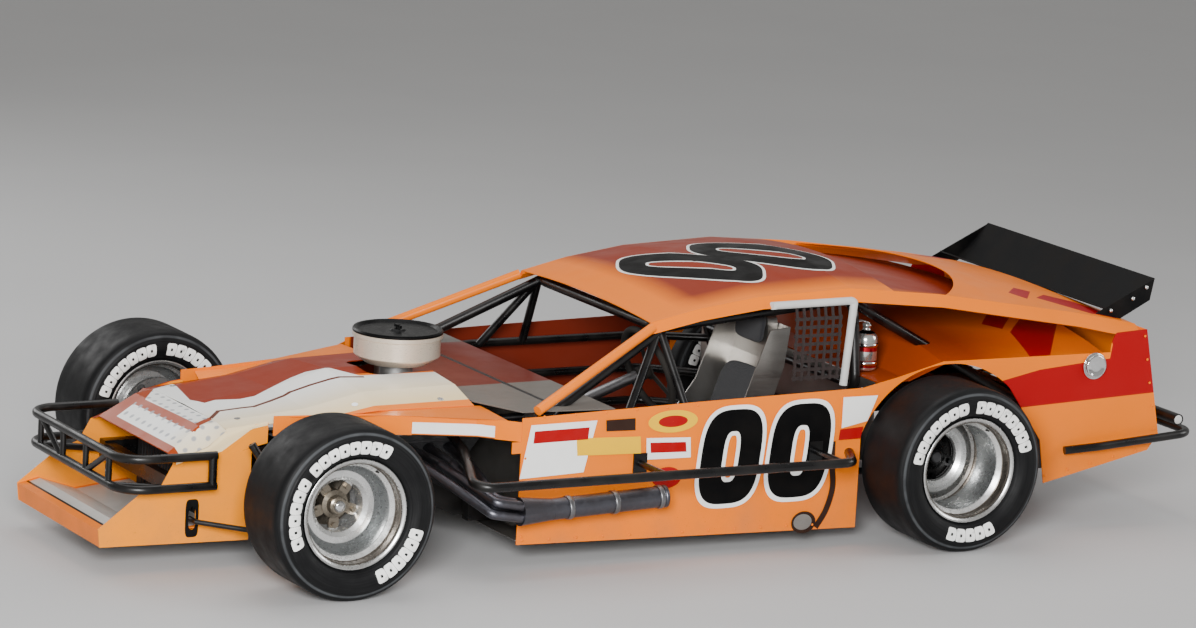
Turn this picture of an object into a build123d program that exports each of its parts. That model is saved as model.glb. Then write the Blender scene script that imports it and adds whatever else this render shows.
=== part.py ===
from build123d import *
import math
import os

os.makedirs("parts", exist_ok=True)

# Open-wheel modified stock car. Millimetres, +X forward, +Y left, +Z up.
# The origin is on the ground, on the centreline, half way along the car.

# Driving dimensions of the whole car
wheelbase = 2718
front_overhang = 757
rear_overhang = 1245
tyre_radius = 335
tyre_width = 330
wheel_centre_y = 905
rim_radius = 208
rim_width = 270
body_half_width = 780
belt_height = 620
sill_height = 715
floor_height = 100
roof_edge_height = 995
roof_crown = 48
skin = 4

# Driving dimensions of the chassis
rail_y = 460
rail_height = 76
rail_width = 50
clip_rail_y = 355
clip_rail_z = 300
main_rail_z = 165
kick_up_z = 500
seat_y = 330
cage_radius = 21
brace_radius = 17
steering_axis_y = 700
steering_arm = 130

# Driving dimensions of the engine and its setback
firewall_setback = 830
engine_length = 510
crank_height = 270
air_cleaner_radius = 180
air_cleaner_base = 668
air_cleaner_height = 136

# Clearances
running_gap = 5
pin_gap = 0.3
arch_gap = 17

# Stations worked out from the driving dimensions
overall_length = front_overhang + wheelbase + rear_overhang
rear_x = rear_overhang - overall_length / 2
front_x = rear_x + wheelbase
nose_x = front_x + front_overhang
tail_x = rear_x - 1050
tail_top_x = tail_x + 50
tail_low_x = tail_x - 44
cowl_x = front_x - firewall_setback
hoop_x = rear_x + 280
firewall_x = cowl_x - 100
roof_front_x = cowl_x - 679
door_rear_x = rear_x + tyre_radius + arch_gap
axle_z = tyre_radius
engine_rear_x = firewall_x + 22
engine_front_x = engine_rear_x + engine_length
carburettor_x = front_x - 673
hood_rear_x = front_x - 765
hood_front_x = front_x + 235
nose_side_y = 398
cabin_length = cowl_x - hoop_x
dash_x = cowl_x - 0.261 * cabin_length
steering_wheel_x = hoop_x + 0.507 * cabin_length
seat_x = hoop_x + 0.255 * cabin_length
door_bar_y = body_half_width - 80
hoop_half_width = body_half_width - 182
side_bar_y = body_half_width + 220
exhaust_y = body_half_width + 82
sides = (("left", 1), ("right", -1))
roof_rails = []


def tube(points, radius, bend=0):
    """A round tube along straight runs, with bends of one radius at the corners."""
    with BuildLine() as path:
        if bend and len(points) > 2:
            FilletPolyline(*points, radius=bend)
        else:
            Polyline(*points)
    with BuildSketch(Plane(path.line @ 0, z_dir=path.line % 0)) as section:
        Circle(radius)
    sweep(sections=section.sketch, path=path.line, transition=Transition.RIGHT)


def side_plane(y):
    """Plane across the car at y, seen from the left: X to the right, Z up."""
    return Plane((0, y, 0), x_dir=(1, 0, 0), z_dir=(0, -1, 0))


def cross_plane(x):
    """Plane across the car at x: local X is the car's Y, local Y is up."""
    return Plane((x, 0, 0), x_dir=(0, 1, 0), z_dir=(1, 0, 0))


def plate(plane, outline, amount):
    """A flat plate: a closed outline on a plane, as thick as amount."""
    with BuildSketch(plane) as face:
        with BuildLine():
            Polyline(*outline, close=True)
        make_face()
    extrude(to_extrude=face.sketch, amount=amount)


def block(low, high):
    """A square-edged block between two corners."""
    size = [b - a for a, b in zip(low, high)]
    middle = [(a + b) / 2 for a, b in zip(low, high)]
    with Locations(tuple(middle)):
        Box(*size)


# Chassis frame: main rails with a kick-up over the rear axle, front clip rails, cross-members
main_rail_line = [
    (rear_x - 960, 360),
    (rear_x - 560, 440),
    (rear_x - 300, kick_up_z),
    (rear_x + 200, kick_up_z),
    (rear_x + 440, main_rail_z),
    (cowl_x + 60, main_rail_z),
]
clip_rail_line = [
    (cowl_x - 300, main_rail_z),
    (cowl_x + 60, main_rail_z),
    (cowl_x + 320, clip_rail_z),
    (front_x + 420, clip_rail_z),
]
# columns: x centre, length in x, z centre, height, half width
cross_members = (
    (rear_x - 935, 50, 365, 60, rail_y),
    (rear_x - 330, 50, kick_up_z, 60, rail_y),
    (rear_x + 480, 50, main_rail_z, 60, rail_y),
    (cowl_x - 235, 50, main_rail_z - 23, 30, rail_y),
    (engine_front_x + 108, 40, clip_rail_z, 60, clip_rail_y),
    (front_x + 15, 230, clip_rail_z - 78, 80, clip_rail_y + rail_width / 2),
    (front_x + 400, 40, clip_rail_z, 60, clip_rail_y),
)
with BuildPart() as frame_rails:
    for side, sign in sides:
        for line, y in ((main_rail_line, rail_y), (clip_rail_line, clip_rail_y)):
            with BuildSketch(side_plane(sign * y)):
                with BuildLine():
                    Polyline(*line)
                trace(line_width=rail_height)
            extrude(amount=rail_width / 2, both=True)
        block(
            (front_x - 100, min(sign * 325, sign * 385), clip_rail_z),
            (front_x + 100, max(sign * 325, sign * 385), 450),
        )
        block(
            (cowl_x - 60, min(sign * clip_rail_y, sign * rail_y), main_rail_z - 30),
            (cowl_x + 20, max(sign * clip_rail_y, sign * rail_y), main_rail_z + 30),
        )
    for x, length, z, height, half_width in cross_members:
        with Locations((x, 0, z)):
            Box(length, 2 * half_width, height)
frame_rails.part.label = "frame_rails"
export_step(frame_rails.part, "parts/frame_rails.step")

# Roll cage: main hoop with its cross bar and the braces to the rear
hoop_top_z = 938
hoop_foot_z = 400
halo_front_x = roof_front_x - 60
halo_front_z = 862
halo_y = body_half_width - 275
knee_x = cowl_x - 220
knee_y = body_half_width - 140
knee_z = 590
with BuildPart() as roll_cage:
    tube(
        [
            (hoop_x, -rail_y, hoop_foot_z),
            (hoop_x, -hoop_half_width, belt_height),
            (hoop_x, 53 - hoop_half_width, hoop_top_z),
            (hoop_x, hoop_half_width - 53, hoop_top_z),
            (hoop_x, hoop_half_width, belt_height),
            (hoop_x, rail_y, hoop_foot_z),
        ],
        cage_radius,
        70,
    )
    tube([(hoop_x, 8 - hoop_half_width, knee_z + 10), (hoop_x, hoop_half_width - 8, knee_z + 10)], brace_radius)
    for side, sign in sides:
        tube(
            [(hoop_x, sign * (hoop_half_width - 58), hoop_top_z - 6), (rear_x - 620, sign * rail_y, 450)],
            cage_radius,
        )
    add(frame_rails.part, mode=Mode.SUBTRACT)
roll_cage.part.label = "roll_cage"
export_step(roll_cage.part, "parts/roll_cage.step")

# Halo over the cabin, the bent legs down to the rails, the cross bar at the knees and the vent braces
with BuildPart() as halo:
    tube(
        [
            (hoop_x, -halo_y, hoop_top_z),
            (halo_front_x, -halo_y, halo_front_z),
            (halo_front_x, halo_y, halo_front_z),
            (hoop_x, halo_y, hoop_top_z),
        ],
        cage_radius,
        70,
    )
    tube([(knee_x, -knee_y, knee_z), (knee_x, knee_y, knee_z)], brace_radius)
    for side, sign in sides:
        tube(
            [
                (halo_front_x - 20, sign * halo_y, halo_front_z),
                (knee_x, sign * knee_y, knee_z),
                (knee_x + 20, sign * rail_y, main_rail_z + 20),
            ],
            cage_radius,
            90,
        )
        tube([(halo_front_x, sign * halo_y, halo_front_z), (halo_front_x - 40, sign * (door_bar_y - 10), 565)], brace_radius)
        tube([(halo_front_x, sign * halo_y, halo_front_z), (halo_front_x + 190, sign * knee_y, 570)], brace_radius)
    add(roll_cage.part, mode=Mode.SUBTRACT)
    add(frame_rails.part, mode=Mode.SUBTRACT)
halo.part.label = "halo"
export_step(halo.part, "parts/halo.step")

# Door bars, columns: height, rear end y, front end y
door_bar_table = (
    (280, rail_y + 20, rail_y + 50),
    (420, rail_y + 12, rail_y + 100),
    (560, hoop_half_width - 38, rail_y + 160),
)
for side, sign in sides:
    with BuildPart() as door_bars:
        for height, rear_y, front_y in door_bar_table:
            tube(
                [
                    (hoop_x, sign * rear_y, height),
                    (hoop_x + 260, sign * door_bar_y, height),
                    (knee_x - 320, sign * door_bar_y, height),
                    (knee_x, sign * front_y, height),
                ],
                brace_radius,
                120,
            )
        add(roll_cage.part, mode=Mode.SUBTRACT)
        add(halo.part, mode=Mode.SUBTRACT)
        add(frame_rails.part, mode=Mode.SUBTRACT)
    door_bars.part.label = f"{side}_door_bars"
    export_step(door_bars.part, f"parts/{side}_door_bars.step")

# Engine bay bars from the knees to the front clip
with BuildPart() as engine_bars:
    for side, sign in sides:
        tube(
            [
                (knee_x, sign * (knee_y - 15), knee_z - 20),
                (cowl_x + 460, sign * (clip_rail_y + 75), 505),
                (front_x - 60, sign * clip_rail_y, 440),
            ],
            brace_radius,
            120,
        )
    add(halo.part, mode=Mode.SUBTRACT)
    add(frame_rails.part, mode=Mode.SUBTRACT)
engine_bars.part.label = "engine_bars"
export_step(engine_bars.part, "parts/engine_bars.step")

# Floor pan between the rails and the door skins
with BuildPart() as floor_pan:
    block((rear_x + 470, 50 - body_half_width, floor_height), (cowl_x - 20, body_half_width - 50, floor_height + skin))
floor_pan.part.label = "floor_pan"
export_step(floor_pan.part, "parts/floor_pan.step")

# Side panels: flat door skin behind the engine opening and a tapering strip above it
side_bottom_rear_z = 65
side_bottom_front_z = 98
strip_top_z = 582
strip_bottom_z = 505
strip_plan = [
    (cowl_x, body_half_width),
    (cowl_x + 130, body_half_width - 125),
    (cowl_x + 330, 570),
    (cowl_x + 540, 488),
    (front_x + 60, 432),
]
for side, sign in sides:
    with BuildPart() as side_panel:
        plate(
            side_plane(sign * body_half_width),
            [
                (door_rear_x, side_bottom_rear_z),
                (cowl_x, side_bottom_front_z),
                (cowl_x, strip_top_z + 16),
                (cowl_x - 780, belt_height),
                (door_rear_x, belt_height + 15),
            ],
            sign * skin,
        )
        with BuildSketch(Plane.XY.offset(strip_bottom_z)):
            with BuildLine():
                Polyline(*[(x, sign * (y - skin / 2)) for x, y in strip_plan])
            trace(line_width=skin)
        extrude(amount=strip_top_z - strip_bottom_z)
        plate(
            side_plane(sign * body_half_width),
            [(cowl_x - 5, 460), (cowl_x + 40, 460), (cowl_x + 40, 505), (cowl_x - 5, 505)],
            sign * skin,
        )
    side_panel.part.label = f"{side}_side_panel"
    export_step(side_panel.part, f"parts/{side}_side_panel.step")

# Quarter panels: rear body sides with the wheel arch and the low rear window sill
arch_radius = tyre_radius + 33
arch_start_z = axle_z + math.sqrt(arch_radius**2 - (door_rear_x - rear_x) ** 2)
window_rear_x = rear_x - 828
tail_top_z = 808
tail_low_z = 362
for side, sign in sides:
    with BuildPart() as quarter_panel:
        with BuildSketch(side_plane(sign * body_half_width)):
            with BuildLine():
                ThreePointArc(
                    (door_rear_x, arch_start_z),
                    (rear_x + 60, axle_z + math.sqrt(arch_radius**2 - 60**2)),
                    (rear_x - 345, 597),
                )
                Polyline(
                    (rear_x - 345, 597),
                    (rear_x - 510, 371),
                    (rear_x - 541, 189),
                    (tail_x + 5, 298),
                    (tail_low_x, tail_low_z),
                    (tail_top_x, tail_top_z),
                    (window_rear_x - 24, tail_top_z - 8),
                )
                ThreePointArc(
                    (window_rear_x - 24, tail_top_z - 8),
                    (window_rear_x - 4, 764),
                    (window_rear_x, sill_height + 5),
                )
                Polyline(
                    (window_rear_x, sill_height + 5),
                    (rear_x - 20, sill_height + 8),
                    (rear_x + 190, axle_z + arch_radius - 33),
                    (door_rear_x, belt_height + 15),
                    (door_rear_x, arch_start_z),
                )
            make_face()
        extrude(amount=sign * skin)
    quarter_panel.part.label = f"{side}_quarter_panel"
    export_step(quarter_panel.part, f"parts/{side}_quarter_panel.step")

# Roof rails and sail panels: a folded band from the windscreen corner to the tail.
# columns: x, inset of the top edge from the body side, its height, inset of the lower edge, its height
rail_sections = (
    (roof_front_x, 235, 894, 205, 855),
    (roof_front_x - 210, 227, 940, 192, 900),
    (roof_front_x - 480, 220, 978, 180, 936),
    (hoop_x + 30, 215, roof_edge_height, 172, 948),
    (rear_x - 97, 188, 958, 142, 912),
    (rear_x - 357, 158, 920, 108, 872),
    (rear_x - 700, 121, 870, 52, 822),
    (rear_x - 844, 100, 845, 12, 794),
    (tail_top_x + 8, 82, 816, 10, 786),
)
band = 14
for side, sign in sides:
    with BuildPart() as roof_rail:
        for x, top_inset, top_z, low_inset, low_z in rail_sections:
            top_y = body_half_width - top_inset
            low_y = body_half_width - low_inset
            with BuildSketch(cross_plane(x)):
                with BuildLine():
                    Polyline(
                        (sign * top_y, top_z),
                        (sign * low_y, low_z),
                        (sign * (low_y - band), low_z - 4),
                        (sign * (top_y - band), top_z - band),
                        close=True,
                    )
                make_face()
        loft(ruled=True)
        pillar_base = (cowl_x - 76, sign * (body_half_width - 23), belt_height - 2)
        pillar_top = (roof_front_x, sign * (body_half_width - 222), 876)
        tube([pillar_base, pillar_top], 20)
    roof_rails.append(roof_rail.part)
    roof_rail.part.label = f"{side}_roof_rail"
    export_step(roof_rail.part, f"parts/{side}_roof_rail.step")


def crowned_sheet(sections):
    """A crowned sheet of skin thickness between the roof rails, lofted through its sections."""
    faces = []
    for x, inset, edge_z, crown in sections:
        half_width = body_half_width - inset
        with BuildSketch(cross_plane(x)) as face:
            with BuildLine():
                ThreePointArc((-half_width, edge_z), (0, edge_z + crown), (half_width, edge_z))
                Line((half_width, edge_z), (half_width, edge_z - skin))
                ThreePointArc(
                    (half_width, edge_z - skin), (0, edge_z + crown - skin), (-half_width, edge_z - skin)
                )
                Line((-half_width, edge_z - skin), (-half_width, edge_z))
            make_face()
        faces.append(face.sketch)
    loft(sections=faces, ruled=True)
    for rail in roof_rails:
        add(rail, mode=Mode.SUBTRACT)


# Roof panel, columns: x, inset from the body side, edge height, crown
with BuildPart() as roof_panel:
    crowned_sheet(
        (
            (roof_front_x, 236, 894, 20),
            (roof_front_x - 210, 228, 940, 34),
            (roof_front_x - 480, 221, 978, 44),
            (hoop_x + 30, 216, roof_edge_height, roof_crown),
            (rear_x + 110, 205, 977, roof_crown),
        )
    )
roof_panel.part.label = "roof_panel"
export_step(roof_panel.part, "parts/roof_panel.step")

# Recessed rear window panel, below the level of the sail panels
with BuildPart() as backlight_panel:
    crowned_sheet(
        (
            (rear_x + 108, 206, 944, 44),
            (rear_x - 357, 176, 884, 30),
            (rear_x - 620, 150, 840, 20),
        )
    )
backlight_panel.part.label = "backlight_panel"
export_step(backlight_panel.part, "parts/backlight_panel.step")

# Rear deck with a bowed front edge
deck_corner_y = body_half_width - 188
with BuildPart() as deck_panel:
    crowned_sheet(
        (
            (rear_x - 120, 190, 950, 52),
            (rear_x - 357, 159, 918, 56),
            (rear_x - 844, 101, 845, 40),
            (tail_top_x + 6, 82, 814, 16),
        )
    )
    with BuildSketch(Plane.XY.offset(700)):
        with BuildLine():
            ThreePointArc((rear_x - 120, -deck_corner_y), (rear_x - 400, 0), (rear_x - 120, deck_corner_y))
            Line((rear_x - 120, deck_corner_y), (rear_x - 100, deck_corner_y))
            Line((rear_x - 100, deck_corner_y), (rear_x - 100, -deck_corner_y))
            Line((rear_x - 100, -deck_corner_y), (rear_x - 120, -deck_corner_y))
        make_face()
    extrude(amount=400, mode=Mode.SUBTRACT)
deck_panel.part.label = "deck_panel"
export_step(deck_panel.part, "parts/deck_panel.step")

# Tail panel closing the rear above the bumper, leaning back towards its foot
tail_foot_z = 402
tail_lean = (tail_top_x - tail_low_x) / (tail_top_z - tail_low_z)
tail_foot_x = tail_low_x + tail_lean * (tail_foot_z - tail_low_z)
with BuildPart() as tail_panel:
    with BuildSketch(side_plane(0)):
        with BuildLine():
            Polyline(
                (tail_top_x + 2, tail_top_z),
                (tail_top_x + 2 + skin, tail_top_z),
                (tail_foot_x + 2 + skin, tail_foot_z),
                (tail_foot_x + 2, tail_foot_z),
                close=True,
            )
        make_face()
    extrude(amount=body_half_width - 6, both=True)
    for rail in roof_rails:
        add(rail, mode=Mode.SUBTRACT)
tail_panel.part.label = "tail_panel"
export_step(tail_panel.part, "parts/tail_panel.step")

# Rear spoiler: a blade on a flange along the deck, with a plate at each end that rests on the deck
spoiler_half_width = 630
spoiler_top = (rear_x - 1125, 985)
spoiler_heel = (rear_x - 965, 843)
with BuildPart() as spoiler:
    with BuildSketch(side_plane(0)):
        with BuildLine():
            Polyline((rear_x - 885, 872), spoiler_heel, spoiler_top)
        trace(line_width=6)
    extrude(amount=spoiler_half_width, both=True)
    for y in (-spoiler_half_width + 4, spoiler_half_width):
        plate(
            side_plane(y),
            [(rear_x - 840, 849), (rear_x - 965, 823), (rear_x - 1108, 895), spoiler_top],
            4,
        )
    add(deck_panel.part, mode=Mode.SUBTRACT)
spoiler.part.label = "spoiler"
export_step(spoiler.part, "parts/spoiler.step")

# Hood: gently crowned top with a notch for the carburettor.
# columns: x, centre height, shoulder y, shoulder height, edge y, edge height
hood_sections = (
    (hood_rear_x, 664, 330, 640, 500, 592),
    (hood_rear_x + 400, 656, 320, 630, 470, 588),
    (hood_rear_x + 640, 590, 320, 578, 410, 556),
    (hood_front_x, 548, 300, 540, 372, 530),
)
notch_half_width = 135
notch_front_x = carburettor_x + 175
with BuildPart() as hood:
    for x, centre_z, shoulder_y, shoulder_z, edge_y, edge_z in hood_sections:
        with BuildSketch(cross_plane(x)):
            with BuildLine():
                Polyline(
                    (-edge_y, edge_z),
                    (-shoulder_y, shoulder_z),
                    (0, centre_z),
                    (shoulder_y, shoulder_z),
                    (edge_y, edge_z),
                    (edge_y - skin, edge_z - skin),
                    (shoulder_y - skin, shoulder_z - skin),
                    (0, centre_z - skin),
                    (skin - shoulder_y, shoulder_z - skin),
                    (skin - edge_y, edge_z - skin),
                    close=True,
                )
            make_face()
    loft(ruled=True)
    with BuildSketch(Plane.XY.offset(500)):
        with Locations(((hood_rear_x + notch_front_x) / 2 - 20, 0)):
            RectangleRounded(notch_front_x - hood_rear_x + 40, 2 * notch_half_width, 60)
        with Locations((hood_rear_x, 0)):
            Rectangle(120, 2 * notch_half_width)
    extrude(amount=300, mode=Mode.SUBTRACT)
hood.part.label = "hood"
export_step(hood.part, "parts/hood.step")

# Nose cowl: sloping front face and corner faces that meet the side plates.
# columns: x, half width at the crease, crease height, half width at the foot, foot height
cowl_sections = (
    (hood_front_x + 2, 300, 540, 392, 526),
    (front_x + 312, 296, 530, 392, 470),
    (front_x + 450, 330, 440, 392, 420),
)
with BuildPart() as nose_cowl:
    for x, crease_y, crease_z, foot_y, foot_z in cowl_sections:
        with BuildSketch(cross_plane(x)):
            with BuildLine():
                Polyline(
                    (-foot_y, foot_z),
                    (-crease_y, crease_z),
                    (crease_y, crease_z),
                    (foot_y, foot_z),
                    (foot_y - skin, foot_z - skin),
                    (crease_y - skin, crease_z - skin),
                    (skin - crease_y, crease_z - skin),
                    (skin - foot_y, foot_z - skin),
                    close=True,
                )
            make_face()
    loft(ruled=True)
nose_cowl.part.label = "nose_cowl"
export_step(nose_cowl.part, "parts/nose_cowl.step")

# Nose side plates with a slot for the stabiliser arm
with BuildPart() as nose_sides:
    for side, sign in sides:
        with BuildSketch(side_plane(sign * nose_side_y)):
            with BuildLine():
                Polyline(
                    (nose_x - 8, 105),
                    (nose_x, 176),
                    (nose_x - 165, 300),
                    (nose_x - 255, 330),
                    (front_x + 455, 415),
                    (front_x + 300, 462),
                    (front_x + 120, 545),
                    (front_x + 66, 550),
                    (front_x + 66, 470),
                    (front_x + 200, 440),
                    (front_x + 200, 95),
                    close=True,
                )
            make_face()
            with Locations((front_x + 372, 195)):
                SlotOverall(90, 30, rotation=90, mode=Mode.SUBTRACT)
        extrude(amount=sign * skin)
nose_sides.part.label = "nose_sides"
export_step(nose_sides.part, "parts/nose_sides.step")

# Nose pan: lip, top flange and the duct floor that leads up to the radiator
with BuildPart() as nose_pan:
    with BuildSketch(side_plane(0)):
        with BuildLine():
            Polyline(
                (front_x + 210, 110),
                (nose_x - 12, 107),
                (nose_x - 4, 172),
                (nose_x - 85, 192),
                (nose_x - 240, 140),
                (front_x + 290, 165),
            )
        trace(line_width=skin)
    extrude(amount=nose_side_y - skin, both=True)
nose_pan.part.label = "nose_pan"
export_step(nose_pan.part, "parts/nose_pan.step")

# Radiator with side tanks, core fins and a capped neck
fin_pitch = 28
with BuildPart() as radiator:
    with Locations((front_x + 255, 0, 300)):
        Box(48, 560, 270)
    for sign in (1, -1):
        with Locations((front_x + 255, sign * 300, 300)):
            Box(56, 40, 286)
    with BuildSketch(cross_plane(front_x + 279)):
        with Locations((0, 300)):
            with GridLocations(fin_pitch, 0, 19, 1):
                Rectangle(4, 250)
    extrude(amount=5)
    with Locations((front_x + 255, 300, 443)):
        Cylinder(20, 26, align=(Align.CENTER, Align.CENTER, Align.MIN))
    with Locations((front_x + 255, 300, 463)):
        Cylinder(30, 10, align=(Align.CENTER, Align.CENTER, Align.MIN))
radiator.part.label = "radiator"
export_step(radiator.part, "parts/radiator.step")

# Steering wheel on its column, turned about the column's own line
steering_wheel_centre = (steering_wheel_x, seat_y + 15, 655)
column_tilt = 20
column_direction = (math.cos(math.radians(column_tilt)), 0, -math.sin(math.radians(column_tilt)))
column_start = 54 + running_gap
column_length = (firewall_x - 55 - steering_wheel_x) / math.cos(math.radians(column_tilt)) - column_start
wheel_plane = Plane(steering_wheel_centre, x_dir=(0, 1, 0), z_dir=column_direction)
steering_wheel_radius = 175
with BuildPart() as steering_wheel:
    with BuildSketch(Plane(wheel_plane.origin, x_dir=wheel_plane.x_dir, z_dir=wheel_plane.y_dir)):
        with Locations((steering_wheel_radius, 0)):
            Circle(14)
    revolve(axis=Axis(wheel_plane.origin, wheel_plane.z_dir))
    with BuildSketch(wheel_plane.offset(-2)):
        Circle(40)
        with PolarLocations(0, 3, start_angle=90):
            with Locations((steering_wheel_radius / 2, 0)):
                Rectangle(steering_wheel_radius - 8, 26)
    extrude(amount=6)
    with BuildSketch(wheel_plane.offset(4)):
        Circle(30)
    extrude(amount=50)
steering_wheel.part.label = "steering_wheel"
export_step(steering_wheel.part, "parts/steering_wheel.step")

with BuildPart() as steering_column:
    with BuildSketch(wheel_plane.offset(column_start)):
        Circle(22)
    extrude(amount=column_length)
steering_column.part.label = "steering_column"
export_step(steering_column.part, "parts/steering_column.step")

# Firewall, dashboard and the flat tin between them
tin_height = belt_height - 20
with BuildPart() as firewall:
    with BuildSketch(cross_plane(firewall_x)):
        with BuildLine():
            Polyline(
                (220 - body_half_width, floor_height + 12),
                (body_half_width - 220, floor_height + 12),
                (body_half_width - 80, 200),
                (body_half_width - 80, tin_height),
                (80 - body_half_width, tin_height),
                (80 - body_half_width, 200),
                close=True,
            )
        make_face()
        with Locations((0, 280)):
            Rectangle(340, 340, mode=Mode.SUBTRACT)
    extrude(amount=-skin)
    add(frame_rails.part, mode=Mode.SUBTRACT)
    add(engine_bars.part, mode=Mode.SUBTRACT)
firewall.part.label = "firewall"
export_step(firewall.part, "parts/firewall.step")

with BuildPart() as cowl_panel:
    with BuildSketch(Plane.XY.offset(tin_height)):
        with BuildLine():
            Polyline(
                (cowl_x + 60, 310 - body_half_width),
                (cowl_x + 60, body_half_width - 310),
                (cowl_x - 40, body_half_width - 80),
                (dash_x - 10, body_half_width - 44),
                (dash_x - 10, 44 - body_half_width),
                (cowl_x - 40, 80 - body_half_width),
                close=True,
            )
        make_face()
    extrude(amount=skin)
    add(halo.part, mode=Mode.SUBTRACT)
cowl_panel.part.label = "cowl_panel"
export_step(cowl_panel.part, "parts/cowl_panel.step")

# columns: gauge centre y, gauge radius
gauges = ((seat_y - 90, 40), (seat_y - 172, 27), (seat_y - 236, 27), (seat_y + 100, 27))
with BuildPart() as dashboard:
    with BuildSketch(cross_plane(dash_x)):
        with BuildLine():
            Polyline(
                (180 - body_half_width, tin_height - 170),
                (body_half_width - 180, tin_height - 170),
                (body_half_width - 140, tin_height - 1),
                (140 - body_half_width, tin_height - 1),
                close=True,
            )
        make_face()
    extrude(amount=skin)
    for y, radius in gauges:
        with BuildSketch(cross_plane(dash_x)):
            with Locations((y, tin_height - 52)):
                Circle(radius)
        extrude(amount=-22)
    add(steering_column.part, mode=Mode.SUBTRACT)
dashboard.part.label = "dashboard"
export_step(dashboard.part, "parts/dashboard.step")

# Interior tin deck behind the seat, crowned across the car, and the flat bulkhead below it.
# columns: x, height at the sides, crown
deck_half_width = body_half_width - 60
bulkhead_low_z = 300
inner_deck_sections = (
    (hoop_x - 30, belt_height + 20, 2),
    (hoop_x - 180, belt_height + 20, 8),
    (rear_x - 60, sill_height - 15, 80),
    (rear_x - 840, sill_height - 15, 80),
)
with BuildPart() as interior_deck:
    for x, side_z, crown in inner_deck_sections:
        with BuildSketch(cross_plane(x)):
            with BuildLine():
                ThreePointArc((-deck_half_width, side_z), (0, side_z + crown), (deck_half_width, side_z))
                Line((deck_half_width, side_z), (deck_half_width, side_z - skin))
                ThreePointArc(
                    (deck_half_width, side_z - skin), (0, side_z + crown - skin), (-deck_half_width, side_z - skin)
                )
                Line((-deck_half_width, side_z - skin), (-deck_half_width, side_z))
            make_face()
    loft(ruled=True)
    add(roll_cage.part, mode=Mode.SUBTRACT)
    add(frame_rails.part, mode=Mode.SUBTRACT)
interior_deck.part.label = "interior_deck"
export_step(interior_deck.part, "parts/interior_deck.step")

with BuildPart() as bulkhead:
    with BuildSketch(cross_plane(hoop_x - 32)):
        with Locations((0, (bulkhead_low_z + belt_height + 14) / 2)):
            Rectangle(2 * deck_half_width - 60, belt_height + 14 - bulkhead_low_z)
        with Locations((0, 350)):
            Rectangle(160, 160, mode=Mode.SUBTRACT)
    extrude(amount=-skin)
    add(roll_cage.part, mode=Mode.SUBTRACT)
    add(frame_rails.part, mode=Mode.SUBTRACT)
bulkhead.part.label = "bulkhead"
export_step(bulkhead.part, "parts/bulkhead.step")

# Bucket seat on the left of the tunnel
seat_base_z = 216
with BuildPart() as seat:
    with BuildSketch(side_plane(seat_y)):
        with BuildLine():
            Polyline(
                (seat_x + 400, seat_base_z + 50),
                (seat_x + 120, seat_base_z),
                (seat_x + 30, seat_base_z + 40),
                (seat_x - 110, seat_base_z + 465),
                (seat_x - 130, seat_base_z + 625),
            )
        trace(line_width=6)
    extrude(amount=200, both=True)
    for sign in (1, -1):
        plate(
            side_plane(seat_y + sign * 200),
            [
                (seat_x + 400, seat_base_z + 47),
                (seat_x + 120, seat_base_z - 3),
                (seat_x + 28, seat_base_z + 38),
                (seat_x - 112, seat_base_z + 465),
                (seat_x - 132, seat_base_z + 625),
                (seat_x - 40, seat_base_z + 615),
                (seat_x + 60, seat_base_z + 345),
                (seat_x + 180, seat_base_z + 185),
                (seat_x + 400, seat_base_z + 155),
            ],
            sign * 6,
        )
    with BuildSketch(cross_plane(seat_x - 122)):
        with Locations((seat_y, seat_base_z + 596)):
            RectangleRounded(230, 130, 40)
    extrude(amount=44)
seat.part.label = "seat"
export_step(seat.part, "parts/seat.step")

# Window net and its frame behind the driver's shoulder
with BuildPart() as window_net:
    net_y = hoop_half_width + 18
    for x in (380, 430, 480, 530, 580):
        block((rear_x + x - 11, net_y - 2, 640), (rear_x + x + 11, net_y + 2, 900))
    for z in (650, 710, 770, 830, 890):
        block((rear_x + 369, net_y - 2, z - 11), (rear_x + 591, net_y + 2, z + 11))
window_net.part.label = "window_net"
export_step(window_net.part, "parts/window_net.step")

# Extinguisher bottle standing behind the seat
bottle_radius = 48
bottle_height = 190
bottle_place = (hoop_x - 88, 520, belt_height + 29)
with BuildPart() as bottle:
    with BuildSketch(Plane(bottle_place, x_dir=(1, 0, 0), z_dir=(0, -1, 0))):
        with BuildLine():
            Polyline((0, 0), (bottle_radius, 0), (bottle_radius, bottle_height - 60))
            ThreePointArc(
                (bottle_radius, bottle_height - 60),
                (bottle_radius - 10, bottle_height - 38),
                (16, bottle_height - 26),
            )
            Polyline((16, bottle_height - 26), (16, bottle_height), (0, bottle_height), (0, 0))
        make_face()
    revolve(axis=Axis(bottle_place, (0, 0, 1)))
bottle.part.label = "bottle"
export_step(bottle.part, "parts/bottle.step")

# Fuel cell under the tail
with BuildPart() as fuel_cell:
    block((rear_x - 890, -400, 150), (rear_x - 480, 400, 385))
    fillet(fuel_cell.edges().filter_by(Axis.Z), radius=40)
fuel_cell.part.label = "fuel_cell"
export_step(fuel_cell.part, "parts/fuel_cell.step")

with BuildPart() as filler_cap:
    with BuildSketch(side_plane(body_half_width).offset(-16)):
        with Locations((rear_x - 748, 668)):
            Circle(50)
    extrude(amount=16)
filler_cap.part.label = "filler_cap"
export_step(filler_cap.part, "parts/filler_cap.step")

# Engine: block, sump, heads, bell housing and crank pulley
engine_centre_x = (engine_front_x + engine_rear_x) / 2
# columns: centre y, centre z, radius, reach ahead of the block
accessories = ((0, 392, 62, 34), (0, 392, 26, 66), (0, 392, 70, 12), (-150, 300, 48, 52), (150, 430, 46, 58))
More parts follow.
